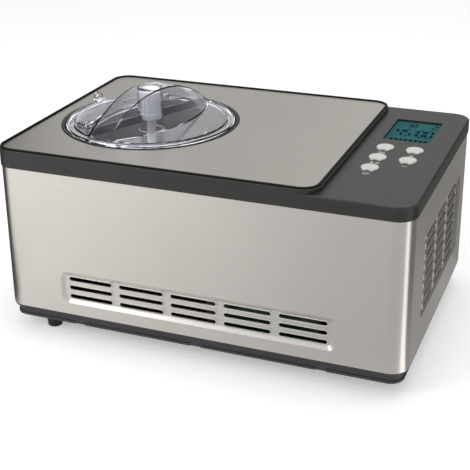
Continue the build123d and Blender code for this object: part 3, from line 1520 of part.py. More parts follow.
def power_board():
    half = board_thickness / 2
    low = tray_floor_z + guide_foot + solder_sink
    half_width = power_board_width / 2
    board = block(power_board_x - half_width, power_board_x + half_width, power_board_y - half,
                  power_board_y + half, low, low + power_board_height)
    back = power_board_y + half - solder_sink
    for x_low, x_high, depth, z_low, z_high in power_board_parts.values():
        board += block(power_board_x + x_low, power_board_x + x_high, back, back + depth,
                       low + z_low, low + z_high)
    return board + rod_y(power_board_x + capacitor_offset[0], low + capacitor_offset[1],
                         capacitor_radius, back, back + capacitor_length)


# ---------------------------------------------------------------- build and write
def group(solids):
    return Compound(children=list(solids))


def build():
    nodes = {name: foot(place) for name, place in foot_places.items()}
    nodes["foot_screws"] = group(foot_screw(place) for place in foot_places.values())
    nodes["base_tray"] = base_tray()
    nodes["housing_wrap"] = housing_wrap()
    nodes["rear_panel"] = rear_panel()
    nodes["rear_screws"] = group(rear_screw(x, z) for x, z in rear_screw_places())
    nodes["cord_gland"] = cord_gland()
    nodes["top_cover"] = top_cover()
    nodes["top_plate"] = top_plate()
    nodes["bowl_bezel"] = bowl_bezel()
    nodes["bowl"] = bowl()
    nodes["cooling_chamber"] = cooling_chamber()
    nodes["evaporator_coil"] = evaporator_coil()
    nodes["chamber_insulation"] = chamber_insulation()
    nodes["shaft_seal"] = shaft_seal()
    nodes["drive_shaft"] = drive_shaft()
    nodes["drive_gear"] = drive_gear()
    nodes["motor_pinion"] = motor_pinion()
    nodes["gearbox_housing"] = gearbox_housing()
    nodes["gearbox_cover"] = gearbox_cover()
    nodes["shaft_bushing"] = shaft_bushing()
    nodes["paddle_motor"] = paddle_motor()
    nodes["paddle"] = paddle()
    nodes["lid"] = lid()
    nodes["flap_pins"] = group(flap_pin(side) for side in (-1, 1))
    nodes["refill_flap"] = refill_flap()
    nodes["compressor"] = compressor()
    nodes["compressor_grommets"] = group(grommet(p) for p in compressor_foot_places())
    nodes["compressor_bolts"] = group(compressor_bolt(p) for p in compressor_foot_places())
    nodes["terminal_cover"] = terminal_cover()
    nodes["condenser"] = condenser()
    nodes["condenser_tubes"] = condenser_tubes()
    nodes["fan_shroud"] = fan_shroud()
    nodes["fan_motor"] = fan_motor()
    nodes["fan_blades"] = fan_blades()
    nodes["filter_drier"] = filter_drier()
    nodes["discharge_pipe"] = discharge_pipe()
    nodes["liquid_pipe"] = liquid_pipe()
    nodes["capillary_tube"] = capillary_tube()
    nodes["suction_pipe"] = suction_pipe()
    nodes["control_board"] = control_board()
    nodes["control_board_screws"] = group(control_board_screw(p) for p in control_board_screw_places())
    nodes["display_module"] = display_module()
    nodes["display_window"] = display_window()
    nodes["button_pad"] = button_pad()
    for name, place in button_places().items():
        nodes[name] = button(place)
    nodes["power_board"] = power_board()
    return nodes


for node_name, shape in build().items():
    export_step(shape, f"parts/{node_name}.step")
    print(node_name, round(shape.volume / 1000, 1), "cm3")
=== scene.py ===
# %% [markdown]
# # A countertop ice cream maker
# The construction is finished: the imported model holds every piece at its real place. This
# notebook gives each piece its finish, adds the fine detail that a maker prints or moulds
# last, and sets up a plain studio. Everything is in metres, +Z up, with the feet on z = 0.

# %% Load the construction
import math

import bmesh
import bpy
from mathutils import Matrix, Vector


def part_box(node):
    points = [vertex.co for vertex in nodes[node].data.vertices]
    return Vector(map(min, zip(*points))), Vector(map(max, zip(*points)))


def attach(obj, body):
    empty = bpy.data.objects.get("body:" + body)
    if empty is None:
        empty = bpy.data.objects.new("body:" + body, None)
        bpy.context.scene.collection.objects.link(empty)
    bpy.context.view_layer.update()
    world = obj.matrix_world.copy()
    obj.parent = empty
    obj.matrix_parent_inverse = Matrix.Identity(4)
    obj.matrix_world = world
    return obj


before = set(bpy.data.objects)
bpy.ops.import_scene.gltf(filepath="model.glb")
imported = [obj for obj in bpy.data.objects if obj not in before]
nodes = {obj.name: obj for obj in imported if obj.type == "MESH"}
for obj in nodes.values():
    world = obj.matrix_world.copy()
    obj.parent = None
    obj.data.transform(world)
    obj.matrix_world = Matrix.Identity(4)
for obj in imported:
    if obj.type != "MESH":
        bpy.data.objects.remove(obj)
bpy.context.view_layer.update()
MM = 0.001

# %% [markdown]
# ## Helpers
# Every finish is a node material around one Principled shader. A number that is the same all
# over a surface is set straight on the shader, and only what varies comes in through nodes.
# Patterns read Object coordinates, because every piece has its object at the origin.

# %% Material helpers
def new_material(name, color, roughness, metallic=0.0, **extra):
    """A Principled material; extra holds other sockets by name, with _ for a space."""
    material = bpy.data.materials.new(name)
    material.use_nodes = True
    shader = material.node_tree.nodes["Principled BSDF"]
    shader.inputs["Base Color"].default_value = (*color, 1.0)
    shader.inputs["Roughness"].default_value = roughness
    shader.inputs["Metallic"].default_value = metallic
    for socket, value in extra.items():
        shader.inputs[socket.replace("_", " ")].default_value = value
    return material, material.node_tree, shader


def add(tree, kind, values=None, **settings):
    """A node of this kind, with its settings and its input values."""
    node = tree.nodes.new(kind)
    for key, value in settings.items():
        setattr(node, key, value)
    for key, value in (values or {}).items():
        node.inputs[key].default_value = value
    return node


def shades(tree, factor, dark, light):
    """A colour that runs from dark to light with a factor from 0 to 1."""
    mix = add(tree, "ShaderNodeMix", data_type="RGBA")
    tree.links.new(factor, mix.inputs["Factor"])
    mix.inputs["A"].default_value = (*dark, 1.0)
    mix.inputs["B"].default_value = (*light, 1.0)
    return mix.outputs["Result"]


def ramped(tree, value, low, high):
    """A number that runs from low to high as the value runs from 0 to 1."""
    node = add(tree, "ShaderNodeMapRange", {"To Min": low, "To Max": high})
    tree.links.new(value, node.inputs["Value"])
    return node.outputs["Result"]


def bumped(tree, shader, height, strength, distance):
    """Feeds a height to the shader's normal."""
    bump = add(tree, "ShaderNodeBump", {"Strength": strength, "Distance": distance})
    tree.links.new(height, bump.inputs["Height"])
    tree.links.new(bump.outputs["Normal"], shader.inputs["Normal"])


# %% [markdown]
# ## Shared effects
# Three effects come back on many pieces. Brushed metal has fine scratches that run one way.
# Moulded plastic has a fine spark-eroded grain. Handled surfaces are never quite even, so a
# slow cloudiness varies their tone and gloss. Each is a node group, built once.

# %% Group helpers
def new_group(name, inputs, outputs):
    """An empty shader group with these sockets, as (name, socket type, default)."""
    group = bpy.data.node_groups.new(name, "ShaderNodeTree")
    for socket, kind, default in inputs:
        made = group.interface.new_socket(socket, in_out="INPUT", socket_type=kind)
        made.default_value = default
    for socket, kind in outputs:
        group.interface.new_socket(socket, in_out="OUTPUT", socket_type=kind)
    return group, group.nodes.new("NodeGroupInput"), group.nodes.new("NodeGroupOutput")


def stretched_noise(group, stretch, detail, roughness=0.5):
    """Noise on Object coordinates multiplied by a vector output or a plain vector."""
    place = group.nodes.new("ShaderNodeTexCoord")
    scale = add(group, "ShaderNodeVectorMath", operation="MULTIPLY")
    group.links.new(place.outputs["Object"], scale.inputs[0])
    if isinstance(stretch, tuple):
        scale.inputs[1].default_value = stretch
    else:
        group.links.new(stretch, scale.inputs[1])
    noise = add(group, "ShaderNodeTexNoise",
                {"Scale": 1.0, "Detail": detail, "Roughness": roughness})
    group.links.new(scale.outputs["Vector"], noise.inputs["Vector"])
    return noise.outputs["Fac"]


# %% Brushed lines, moulded grain and clouds
FLOAT, VECTOR = "NodeSocketFloat", "NodeSocketVector"

brushed_lines, lines_in, lines_out = new_group(
    "brushed_lines", [("Stretch", VECTOR, (40.0, 40.0, 2600.0))], [("Lines", FLOAT)])
lines = stretched_noise(brushed_lines, lines_in.outputs["Stretch"], 3.0, 0.65)
brushed_lines.links.new(lines, lines_out.inputs["Lines"])

moulded_grain, _, grain_out = new_group("moulded_grain", [], [("Grain", FLOAT)])
grain = stretched_noise(moulded_grain, (1500.0, 1500.0, 1500.0), 2.0)
moulded_grain.links.new(grain, grain_out.inputs["Grain"])

clouds, clouds_in, clouds_out = new_group(
    "clouds", [("Stretch", VECTOR, (9.0, 9.0, 9.0))], [("Cloud", FLOAT)])
cloud = stretched_noise(clouds, clouds_in.outputs["Stretch"], 2.0)
clouds.links.new(cloud, clouds_out.inputs["Cloud"])
print("groups:", [g.name for g in bpy.data.node_groups])


def effect(tree, group, output, **inputs):
    """Places a shared group in a material and gives back one of its outputs."""
    node = add(tree, "ShaderNodeGroup", node_tree=group)
    for key, value in inputs.items():
        node.inputs[key].default_value = value
    return node.outputs[output]


# %% [markdown]
# ## Metals
# The body is a brushed stainless wrap and the deck a thinner brushed plate. A brushed sheet
# shows lines along the rolling direction: level lines round the body, and lines from left to
# right on the deck. The lines change roughness and height only a little, because real
# brushing is finer than the eye resolves at arm's length.

# %% Metal finishes
STREAK_SHARE, CLOUD_SHARE = 0.75, 0.3    # how much lines and clouds change a metal's tone
LINE_BUMP, LINE_DEPTH = 0.25, 0.00002


def brushed_metal(name, dark, light, roughness, stretch, turn):
    """Brushed sheet; turn holds an axis and a share of a turn, which lay its highlights
    across the lines."""
    material, tree, shader = new_material(name, light, roughness[0], 1.0, Anisotropic=0.8,
                                          Anisotropic_Rotation=turn[1])
    across = add(tree, "ShaderNodeTangent", direction_type="RADIAL", axis=turn[0])
    tree.links.new(across.outputs["Tangent"], shader.inputs["Tangent"])
    streaks = effect(tree, brushed_lines, "Lines", Stretch=stretch)
    cloud = effect(tree, clouds, "Cloud")
    tone = add(tree, "ShaderNodeMath", operation="MULTIPLY", values={1: STREAK_SHARE})
    tree.links.new(streaks, tone.inputs[0])
    both = add(tree, "ShaderNodeMath", operation="MULTIPLY_ADD", values={1: CLOUD_SHARE})
    tree.links.new(cloud, both.inputs[0])
    tree.links.new(tone.outputs["Value"], both.inputs[2])
    tree.links.new(shades(tree, both.outputs["Value"], dark, light), shader.inputs["Base Color"])
    tree.links.new(ramped(tree, streaks, *roughness), shader.inputs["Roughness"])
    bumped(tree, shader, streaks, LINE_BUMP, LINE_DEPTH)
    return material


def plain_metal(name, dark, light, roughness):
    """Turned, drawn, cast or painted metal: a slow change of tone and gloss."""
    material, tree, shader = new_material(name, light, roughness[0], 1.0)
    cloud = effect(tree, clouds, "Cloud", Stretch=(60.0, 60.0, 60.0))
    tree.links.new(shades(tree, cloud, dark, light), shader.inputs["Base Color"])
    tree.links.new(ramped(tree, cloud, *roughness), shader.inputs["Roughness"])
    return material


LEVEL_LINES = (30.0, 30.0, 2200.0)
DECK_LINES = (30.0, 2200.0, 2200.0)
RING_LINES = (40.0, 40.0, 1500.0)
steel = brushed_metal("steel", (0.55, 0.527, 0.50), (0.735, 0.71, 0.68), (0.27, 0.42),
                      LEVEL_LINES, ("Z", 0.25))
deck_steel = brushed_metal("deck_steel", (0.35, 0.335, 0.305), (0.48, 0.463, 0.43), (0.30, 0.44),
                           DECK_LINES, ("X", 0.0))
# The bowl's aluminium has a dark tone: painted shade for the dim inside of the bowl below the lid.
bowl_metal_painted_shade = brushed_metal("bowl_aluminium", (0.25, 0.255, 0.25), (0.38, 0.385, 0.375),
                           (0.28, 0.45), RING_LINES, ("Z", 0.25))
shaft_metal = plain_metal("shaft_steel", (0.50, 0.50, 0.50), (0.62, 0.62, 0.61), (0.22, 0.34))
screw_metal = plain_metal("screw_steel", (0.42, 0.42, 0.40), (0.58, 0.58, 0.55), (0.25, 0.40))
copper = plain_metal("copper", (0.62, 0.27, 0.14), (0.80, 0.42, 0.27), (0.22, 0.42))
fin_metal = plain_metal("condenser_aluminium", (0.60, 0.61, 0.62), (0.74, 0.75, 0.76),
                        (0.30, 0.45))
motor_metal = plain_metal("motor_metal", (0.36, 0.36, 0.35), (0.50, 0.50, 0.49), (0.30, 0.45))
# Lighter steel than the wrap's: a painted highlight on the rolled edges of the slots.
bead_steel_painted_highlight = plain_metal("rolled_edge_steel_painted_highlight", (0.74, 0.73, 0.71), (0.84, 0.83, 0.81), (0.16, 0.26))
print("metals ready")

# %% [markdown]
# ## Plastics and rubber
# The cover and the base are moulded in black plastic with a fine grain that takes the shine
# off. The bezel round the bowl and the paddle are smoother. Feet, seal and gland are rubber.
# Every finish has a dark and a light tone, the range of its roughness and the depth of its grain.

# %% Plastic finishes
# depths of the grain in metres
SMOOTH, FINE, PAINTED, GRAINED, COARSE, POROUS = 0.00001, 0.00002, 0.00003, 0.00004, 0.00006, 0.0003
GRAIN_BUMP = 0.3


def moulded(name, dark, light, roughness, depth=GRAINED, **extra):
    """Moulded, painted or printed plastic and rubber: a slow change of tone and a fine grain."""
    material, tree, shader = new_material(name, light, roughness[0], 0.0, **extra)
    cloud = effect(tree, clouds, "Cloud", Stretch=(14.0, 14.0, 14.0))
    fine = effect(tree, moulded_grain, "Grain")
    tree.links.new(shades(tree, cloud, dark, light), shader.inputs["Base Color"])
    tree.links.new(ramped(tree, fine, *roughness), shader.inputs["Roughness"])
    bumped(tree, shader, fine, GRAIN_BUMP, depth)
    return material


black_plastic = moulded("black_plastic", (0.019, 0.0178, 0.0158), (0.029, 0.0275, 0.0245),
                        (0.36, 0.5))
gloss_black = moulded("bezel_black", (0.010, 0.010, 0.011), (0.016, 0.016, 0.017),
                      (0.30, 0.42), SMOOTH, Specular_IOR_Level=0.25)
base_plastic = moulded("base_plastic", (0.040, 0.037, 0.042), (0.058, 0.054, 0.060), (0.45, 0.6))
rubber = moulded("foot_rubber", (0.014, 0.014, 0.015), (0.024, 0.024, 0.025), (0.6, 0.8), COARSE)
white_plastic = moulded("white_plastic", (0.90, 0.90, 0.93), (0.95, 0.95, 0.965),
                        (0.22, 0.34), SMOOTH, Subsurface_Weight=0.3, Subsurface_Scale=0.006)
gear_plastic = moulded("gear_plastic", (0.74, 0.72, 0.64), (0.84, 0.82, 0.75), (0.35, 0.5))
foam = moulded("foam", (0.66, 0.60, 0.42), (0.80, 0.74, 0.56), (0.8, 0.95), POROUS)
key_silver = moulded("key_silver", (0.60, 0.59, 0.565), (0.71, 0.70, 0.675),
                     (0.26, 0.38), SMOOTH, Coat_Weight=0.3, Coat_Roughness=0.2)
board_green = moulded("board_green", (0.006, 0.035, 0.015), (0.012, 0.06, 0.026),
                      (0.25, 0.4), FINE)
shell_paint = moulded("compressor_black", (0.010, 0.010, 0.011), (0.02, 0.02, 0.021),
                      (0.25, 0.4), PAINTED)
print("plastics ready")

# %% [markdown]
# ## Clear plastic and the display
# The lid and its refill flap are clear moulded plastic, a little grey where it is thick. Glass
# shading alone would throw black shadows on what lies below it, so shadow rays pass through a
# transparent shader instead. The display is a matt teal window with nearly black figures, and
# the finishes of the web, the lip round the deck and the marks follow it.

# %% Clear finishes
def clear_plastic(name, tint, roughness, shadow_tint):
    """Clear plastic that lets shadow rays through with a tint of their own."""
    material, tree, shader = new_material(name, tint, roughness, 0.0, Transmission_Weight=1.0,
                                          IOR=1.33)
    open_air = add(tree, "ShaderNodeBsdfTransparent", {"Color": (*shadow_tint, 1.0)})
    path = tree.nodes.new("ShaderNodeLightPath")
    mix = tree.nodes.new("ShaderNodeMixShader")
    tree.links.new(path.outputs["Is Shadow Ray"], mix.inputs["Fac"])
    tree.links.new(shader.outputs["BSDF"], mix.inputs[1])
    tree.links.new(open_air.outputs["BSDF"], mix.inputs[2])
    tree.links.new(mix.outputs["Shader"], tree.nodes["Material Output"].inputs["Surface"])
    cloud = effect(tree, clouds, "Cloud", Stretch=(30.0, 30.0, 30.0))
    tree.links.new(ramped(tree, cloud, roughness, roughness * 2), shader.inputs["Roughness"])
    return material


clear = clear_plastic("clear_plastic", (0.81, 0.815, 0.85), 0.02, (0.985, 0.985, 0.99))


def display_finish():
    """Teal that varies slowly, as a backlight leaves it, without any gloss."""
    material, tree, shader = new_material("display_window", (0.05, 0.16, 0.17), 0.35, 0.0,
                                          Specular_IOR_Level=0.0)
    cloud = effect(tree, clouds, "Cloud", Stretch=(34.0, 22.0, 1.0))
    tree.links.new(shades(tree, cloud, (0.020, 0.092, 0.125), (0.062, 0.190, 0.155)),
                   shader.inputs["Base Color"])
    return material


display_teal = display_finish()
navy_sleeve = moulded("navy_sleeve", (0.010, 0.011, 0.016), (0.022, 0.024, 0.032),
                    (0.3, 0.45), SMOOTH, Specular_IOR_Level=0.2)
segment_dark = moulded("display_segments", (0.002, 0.012, 0.040), (0.004, 0.018, 0.055),
                       (0.4, 0.5), SMOOTH, Specular_IOR_Level=0.0)
# Darker and duller than the cover's plastic: painted shade for the gap round the deck.
lip_black_painted_shade = moulded("lip_black_painted_shade", (0.007, 0.007, 0.007), (0.011, 0.0105, 0.010),
                    (0.5, 0.65), SMOOTH, Specular_IOR_Level=0.12)
mark_white = moulded("printed_marks", (0.55, 0.55, 0.54), (0.66, 0.66, 0.65), (0.4, 0.5), SMOOTH)
print("clear finishes ready")

# %% [markdown]
# ## Finishes on the construction's own pieces
# Each node keeps its shape and gets the finish that its real material has.

# %% Give every node its finish
finishes = {
    steel: ["housing_wrap"],
    deck_steel: ["top_plate"],
    black_plastic: ["top_cover", "rear_panel", "gearbox_housing", "gearbox_cover",
                    "terminal_cover", "fan_shroud", "fan_blades", "display_module"],
    gloss_black: ["bowl_bezel"],
    base_plastic: ["base_tray"],
    rubber: ["front_left_foot", "front_right_foot", "rear_left_foot", "rear_right_foot",
             "cord_gland", "shaft_seal", "compressor_grommets", "button_pad"],
    bowl_metal_painted_shade: ["bowl", "cooling_chamber"],
    shaft_metal: ["drive_shaft", "motor_pinion"],
    screw_metal: ["foot_screws", "rear_screws", "compressor_bolts", "control_board_screws",
                  "flap_pins"],
    copper: ["evaporator_coil", "shaft_bushing", "condenser_tubes", "filter_drier",
             "discharge_pipe", "liquid_pipe", "capillary_tube", "suction_pipe"],
    fin_metal: ["condenser"],
    motor_metal: ["paddle_motor", "fan_motor"],
    white_plastic: ["paddle"],
    gear_plastic: ["drive_gear"],
    foam: ["chamber_insulation"],
    key_silver: ["menu_button", "timer_plus_button", "start_button", "timer_minus_button",
                 "power_button"],
    board_green: ["control_board", "power_board"],
    shell_paint: ["compressor"],
    display_teal: ["display_window"],
    clear: ["lid", "refill_flap"],
}


def paint(item, material):
    """Gives a piece this finish alone."""
    item.data.materials.clear()
    item.data.materials.append(material)


for material, names in finishes.items():
    for name in names:
        paint(nodes[name], material)
print(sum(len(names) for names in finishes.values()), "nodes painted")

# %% [markdown]
# ## Printed and fitted detail
# Small things that a maker prints or fits last, each placed from the construction's own boxes:
# the marks in front of the keys, the figures of the display, the dark web below the lid's grip,
# the lip round the deck, and the rolled edges that bring the light to every vent slot.

# %% Mesh helpers
ARC_STEPS = 20


def new_piece(name, shape, material, body):
    """Makes an object of a bmesh, gives it its finish and lets it ride on a body."""
    bmesh.ops.recalc_face_normals(shape, faces=shape.faces)
    mesh = bpy.data.meshes.new(name)
    shape.to_mesh(mesh)
    shape.free()
    piece = bpy.data.objects.new(name, mesh)
    bpy.context.collection.objects.link(piece)
    paint(piece, material)
    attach(piece, body)
    return piece


def raise_faces(shape, faces, height):
    """Extrudes flat faces straight up by a height in millimetres."""
    grown = bmesh.ops.extrude_face_region(shape, geom=faces)["geom"]
    bmesh.ops.translate(shape, vec=(0.0, 0.0, height * MM),
                        verts=[v for v in grown if isinstance(v, bmesh.types.BMVert)])


def add_prism(shape, outline, low, high):
    """Adds an upright prism: an outline of (x, y) points in millimetres between two heights."""
    corners = [shape.verts.new((x * MM, y * MM, low * MM)) for x, y in outline]
    raise_faces(shape, [shape.faces.new(corners)], high - low)


def bar(x, y, width, height):
    """The outline of a level bar round a middle."""
    return [(x - width / 2, y - height / 2), (x + width / 2, y - height / 2),
            (x + width / 2, y + height / 2), (x - width / 2, y + height / 2)]


def add_arc(shape, x, y, radius, width, start, turn, low, high):
    """Adds a part of a flat ring: an edge across the band is spun round its middle, then raised."""
    known = set(shape.faces)
    centre = (x * MM, y * MM, low * MM)
    ends = [shape.verts.new((side * MM, 0.0, 0.0))
            for side in (radius - width / 2, radius + width / 2)]
    across = shape.edges.new(ends)
    bmesh.ops.transform(shape, verts=ends, matrix=Matrix.Translation(centre)
                        @ Matrix.Rotation(math.radians(start), 4, "Z"))
    bmesh.ops.spin(shape, geom=ends + [across], cent=centre, axis=(0, 0, 1),
                   angle=math.radians(turn), steps=ARC_STEPS)
    raise_faces(shape, [face for face in shape.faces if face not in known], high - low)


def middle(name):
    """A node's middle in millimetres."""
    low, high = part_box(name)
    return [(a + b) / 2 / MM for a, b in zip(low, high)]


# %% [markdown]
# Each key has a plain mark in front of it: bars for the menu, a plus and a minus for the time,
# a triangle for start, and a broken ring with a bar for power.

# %% Marks in front of the keys
PANEL_Z = 194.0
MARK_RISE = 0.06
MARK_STROKE = 0.9
MARK_DROP = 4.0
SIGN_WIDTH = 5.4
RING_RADIUS, RING_START, RING_TURN = 2.4, 125, 290

marks = {
    "menu_button": lambda x, y: [bar(x, y + step, 7.0, MARK_STROKE) for step in (-1.9, 0.0, 1.9)],
    "timer_plus_button": lambda x, y: [bar(x, y, SIGN_WIDTH, MARK_STROKE),
                                       bar(x, y + 1.6, MARK_STROKE, 2.3),
                                       bar(x, y - 1.6, MARK_STROKE, 2.3)],
    "start_button": lambda x, y: [[(x - 3.4, y - 2.5), (x + 0.8, y), (x - 3.4, y + 2.5)],
                                  bar(x + 2.4, y, 1.0, 4.6), bar(x + 4.4, y, 1.0, 4.6)],
    "timer_minus_button": lambda x, y: [bar(x, y, SIGN_WIDTH, MARK_STROKE)],
    "power_button": lambda x, y: [bar(x, y + 1.9, MARK_STROKE, 2.6)],
}
key_marks = bmesh.new()
for key, outlines in marks.items():
    key_low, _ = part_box(key)
    for outline in outlines(middle(key)[0], key_low[1] / MM - MARK_DROP):
        add_prism(key_marks, outline, PANEL_Z - MARK_RISE, PANEL_Z + MARK_RISE)
add_arc(key_marks, middle("power_button")[0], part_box("power_button")[0][1] / MM - MARK_DROP,
        RING_RADIUS, MARK_STROKE, RING_START, RING_TURN, PANEL_Z - MARK_RISE, PANEL_Z + MARK_RISE)
print("marks:", len(marks), "faces:", len(key_marks.faces))
new_piece("key_marks", key_marks, mark_white, "main")

# %% [markdown]
# The display shows a running time in seven-segment figures, a temperature above it and a row
# of bars below, all a hair above the window.

# %% Figures of the display
FIGURES = {"0": "abcdef", "1": "bc", "2": "abdeg", "4": "bcfg", "5": "acdfg", "8": "abcdefg",
           "-": "g"}
TIME_SIZE = (6.0, 21.0, 2.5, 8.9)     # width, height, stroke and pitch of the figures
SMALL_SIZE = (4.0, 12.0, 2.0, 6.6)
BARS, BAR_PITCH, BAR_SIZE = 8, 5, (3.4, 6.0)
FIGURE_SINK, FIGURE_RISE = 0.02, 0.06
window_x, window_y, _ = middle("display_window")
window_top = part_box("display_window")[1][2] / MM


def segment_outlines(figure, x, y, width, height, stroke):
    """The bars of one seven-segment figure, whose lower left corner is at x, y."""
    half, gap = height / 2, stroke * 0.25
    level = {"a": y + height, "g": y + half, "d": y}
    upright_bars = {"f": (x, y + half), "b": (x + width, y + half),
                    "e": (x, y), "c": (x + width, y)}
    for name in FIGURES[figure]:
        if name in level:
            yield bar(x + width / 2, level[name], width - stroke - gap, stroke)
        else:
            bar_x, bar_y = upright_bars[name]
            yield bar(bar_x, bar_y + half / 2, stroke, half - stroke - gap)


def on_window(shape, outline):
    """Adds a prism that stands a hair above the window."""
    add_prism(shape, outline, window_top - FIGURE_SINK, window_top + FIGURE_RISE)


def add_figures(shape, text, x, y, width, height, stroke, pitch):
    """Adds a row of figures; a colon is two dots and takes half a pitch."""
    for figure in text:
        if figure == ":":
            for share in (0.3, 0.7):
                on_window(shape, bar(x + stroke, y + height * share, stroke, stroke))
            x += pitch * 0.5
            continue
        for outline in segment_outlines(figure, x, y, width, height, stroke):
            on_window(shape, outline)
        x += pitch


figures = bmesh.new()
add_figures(figures, "45:00", window_x - 17.6, window_y - 11.0, *TIME_SIZE)
add_figures(figures, "-18", window_x - 18.5, window_y + 17.0, *SMALL_SIZE)
add_figures(figures, "2", window_x + 16.0, window_y + 17.0, *SMALL_SIZE)
for i in range(BARS):
    on_window(figures, bar(window_x - 17.5 + BAR_PITCH * i, window_y - 24.0, *BAR_SIZE))
print("faces of the figures:", len(figures.faces))
new_piece("display_figures", figures, segment_dark, "main")

# %% [markdown]
# A thin dark navy sleeve lies round the clear web below the grip and follows the arch at its two
# ends, so the web reads as a dark strip from rim to rim.

# %% Dark web of the lid
WEB_ANGLE = math.radians(65.6)
WEB_START, WEB_END, WEB_STEPS = 14.2, 77.0, 24
WEB_LOW, WEB_HIGH = 199.5, 207.5
WEB_HALF = 1.3
ARCH_RADIUS, ARCH_FOOT, ARCH_WALL = 114.7, 81.2, 1.3
LID_FLOOR = 201.3
hub_x, hub_y, _ = middle("cooling_chamber")


def web_top(t):
    """The web's height at a distance from the hub: level, then down along the arch."""
    arch = LID_FLOOR + math.sqrt(ARCH_RADIUS ** 2 - t * t) - ARCH_FOOT - ARCH_WALL
    return min(WEB_HIGH, arch)


length, height = WEB_END - WEB_START, WEB_HIGH - WEB_LOW
lid_web = bmesh.new()
bmesh.ops.create_cube(lid_web, size=1.0)
bmesh.ops.scale(lid_web, vec=(length, 2 * WEB_HALF, height), verts=lid_web.verts)
bmesh.ops.translate(lid_web, vec=(WEB_START + length / 2, 0.0, WEB_LOW + height / 2),
                    verts=lid_web.verts)
runs = [edge for edge in lid_web.edges if abs(edge.verts[0].co.x - edge.verts[1].co.x) > 1.0]
bmesh.ops.subdivide_edges(lid_web, edges=runs, cuts=WEB_STEPS - 1, use_grid_fill=True)
for v in lid_web.verts:
    v.co.z = min(v.co.z, web_top(v.co.x))
bmesh.ops.scale(lid_web, vec=(MM, MM, MM), verts=lid_web.verts)
half_web = lid_web.verts[:] + lid_web.edges[:] + lid_web.faces[:]
twin = bmesh.ops.duplicate(lid_web, geom=half_web)["geom"]
bmesh.ops.rotate(lid_web, cent=(0, 0, 0), matrix=Matrix.Rotation(math.pi, 3, "Z"),
                 verts=[v for v in twin if isinstance(v, bmesh.types.BMVert)])
bmesh.ops.transform(lid_web, matrix=Matrix.Translation((hub_x * MM, hub_y * MM, 0.0))
                    @ Matrix.Rotation(WEB_ANGLE, 4, "Z"), verts=lid_web.verts)
print("web sleeve faces:", len(lid_web.faces))
new_piece("lid_web_dark_sleeve", lid_web, navy_sleeve, "lid")

# %% [markdown]
# The black cover stands a little proud round the steel deck. Its lip is a darker, duller black than
# the cover's plastic: painted shade for the gap round the deck. The lip starts as one flat
# rectangle: its corners are bevelled round, an inset leaves the band, and an extrusion lifts it.

# %% Raised lip round the deck
LIP_WIDTH = 2.4
LIP_RISE = 1.5
LIP_GAP = 0.1
DECK_CORNER = 15.3
deck_low, deck_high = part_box("top_plate")
deck_x, deck_y, _ = middle("top_plate")
deck_lip = bmesh.new()
bmesh.ops.create_grid(deck_lip, x_segments=1, y_segments=1, size=0.5)
bmesh.ops.scale(deck_lip, vec=(deck_high[0] - deck_low[0] + 2 * (LIP_WIDTH + LIP_GAP) * MM,
                               deck_high[1] - deck_low[1] + 2 * (LIP_WIDTH + LIP_GAP) * MM, 1),
                verts=deck_lip.verts)
bmesh.ops.bevel(deck_lip, geom=deck_lip.verts[:], offset=(DECK_CORNER + LIP_WIDTH) * MM,
                segments=12, profile=0.5, affect="VERTICES", material=-1)
whole = deck_lip.faces[:]
bmesh.ops.inset_region(deck_lip, faces=whole, thickness=LIP_WIDTH * MM, use_boundary=True,
                       use_even_offset=True)
bmesh.ops.delete(deck_lip, geom=whole, context="FACES_ONLY")
raise_faces(deck_lip, deck_lip.faces[:], LIP_RISE)
bmesh.ops.translate(deck_lip, vec=(deck_x * MM, deck_y * MM, deck_high[2]), verts=deck_lip.verts)
new_piece("deck_lip", deck_lip, lip_black_painted_shade, "main")
print("lip round a deck of this width, mm:", round(1000 * (deck_high[0] - deck_low[0]), 1))

# %% [markdown]
# Every slot in the steel has a rolled edge, a round bead that catches the light as a thin bright
# line;
# its steel is lighter than the wrap's, a painted highlight on top of that. A small circle is spun
# into a full ring, and the ring's halves are drawn apart to the slot's length. The beads of one
# vent are one piece.

# %% Rolled edges of the vent slots
SLOT_HEIGHT = 4.6
BEAD_RADIUS = 0.45
BEAD_SIDES = 8
BEAD_STEPS = 20
BEAD_DEPTH = 1.8
# columns, rows, pitches across and up, and slot length of a vent; then where its middle is
FRONT_VENT, FRONT_VENT_Z = (5, 3, 56.2, 9.75, 48.0), 57.2
SIDE_VENT, SIDE_VENT_Y, SIDE_VENT_Z = (3, 8, 50.5, 10.6, 46.0), 8.0, 99.2
wrap_low, wrap_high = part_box("housing_wrap")


def slot_bead(length, height):
    """The mesh of one bead, lying flat: a full spin of a circle, its halves drawn apart."""
    shape = bmesh.new()
    bmesh.ops.create_circle(shape, segments=BEAD_SIDES, radius=BEAD_RADIUS * MM)
    stand = (Matrix.Rotation(math.pi / BEAD_STEPS, 4, "Z")
             @ Matrix.Translation(((height + BEAD_RADIUS) / 2 * MM, 0.0, 0.0))
             @ Matrix.Rotation(math.pi / 2, 4, "X"))
    bmesh.ops.transform(shape, matrix=stand, verts=shape.verts)
    bmesh.ops.spin(shape, geom=shape.verts[:] + shape.edges[:], cent=(0, 0, 0), axis=(0, 0, 1),
                   angle=2 * math.pi, steps=BEAD_STEPS, use_merge=True)
    for v in shape.verts:
        v.co.x += math.copysign((length - height) / 2 * MM, v.co.x)
    mesh = bpy.data.meshes.new("slot_bead")
    shape.to_mesh(mesh)
    shape.free()
    return mesh


def wall_place(origin, along, outward):
    """The plane of a wall: +X runs along the wall, +Y up and +Z outwards."""
    rows = Matrix((along, (0.0, 0.0, 1.0), outward)).transposed().to_4x4()
    return Matrix.Translation([v * MM for v in origin]) @ rows


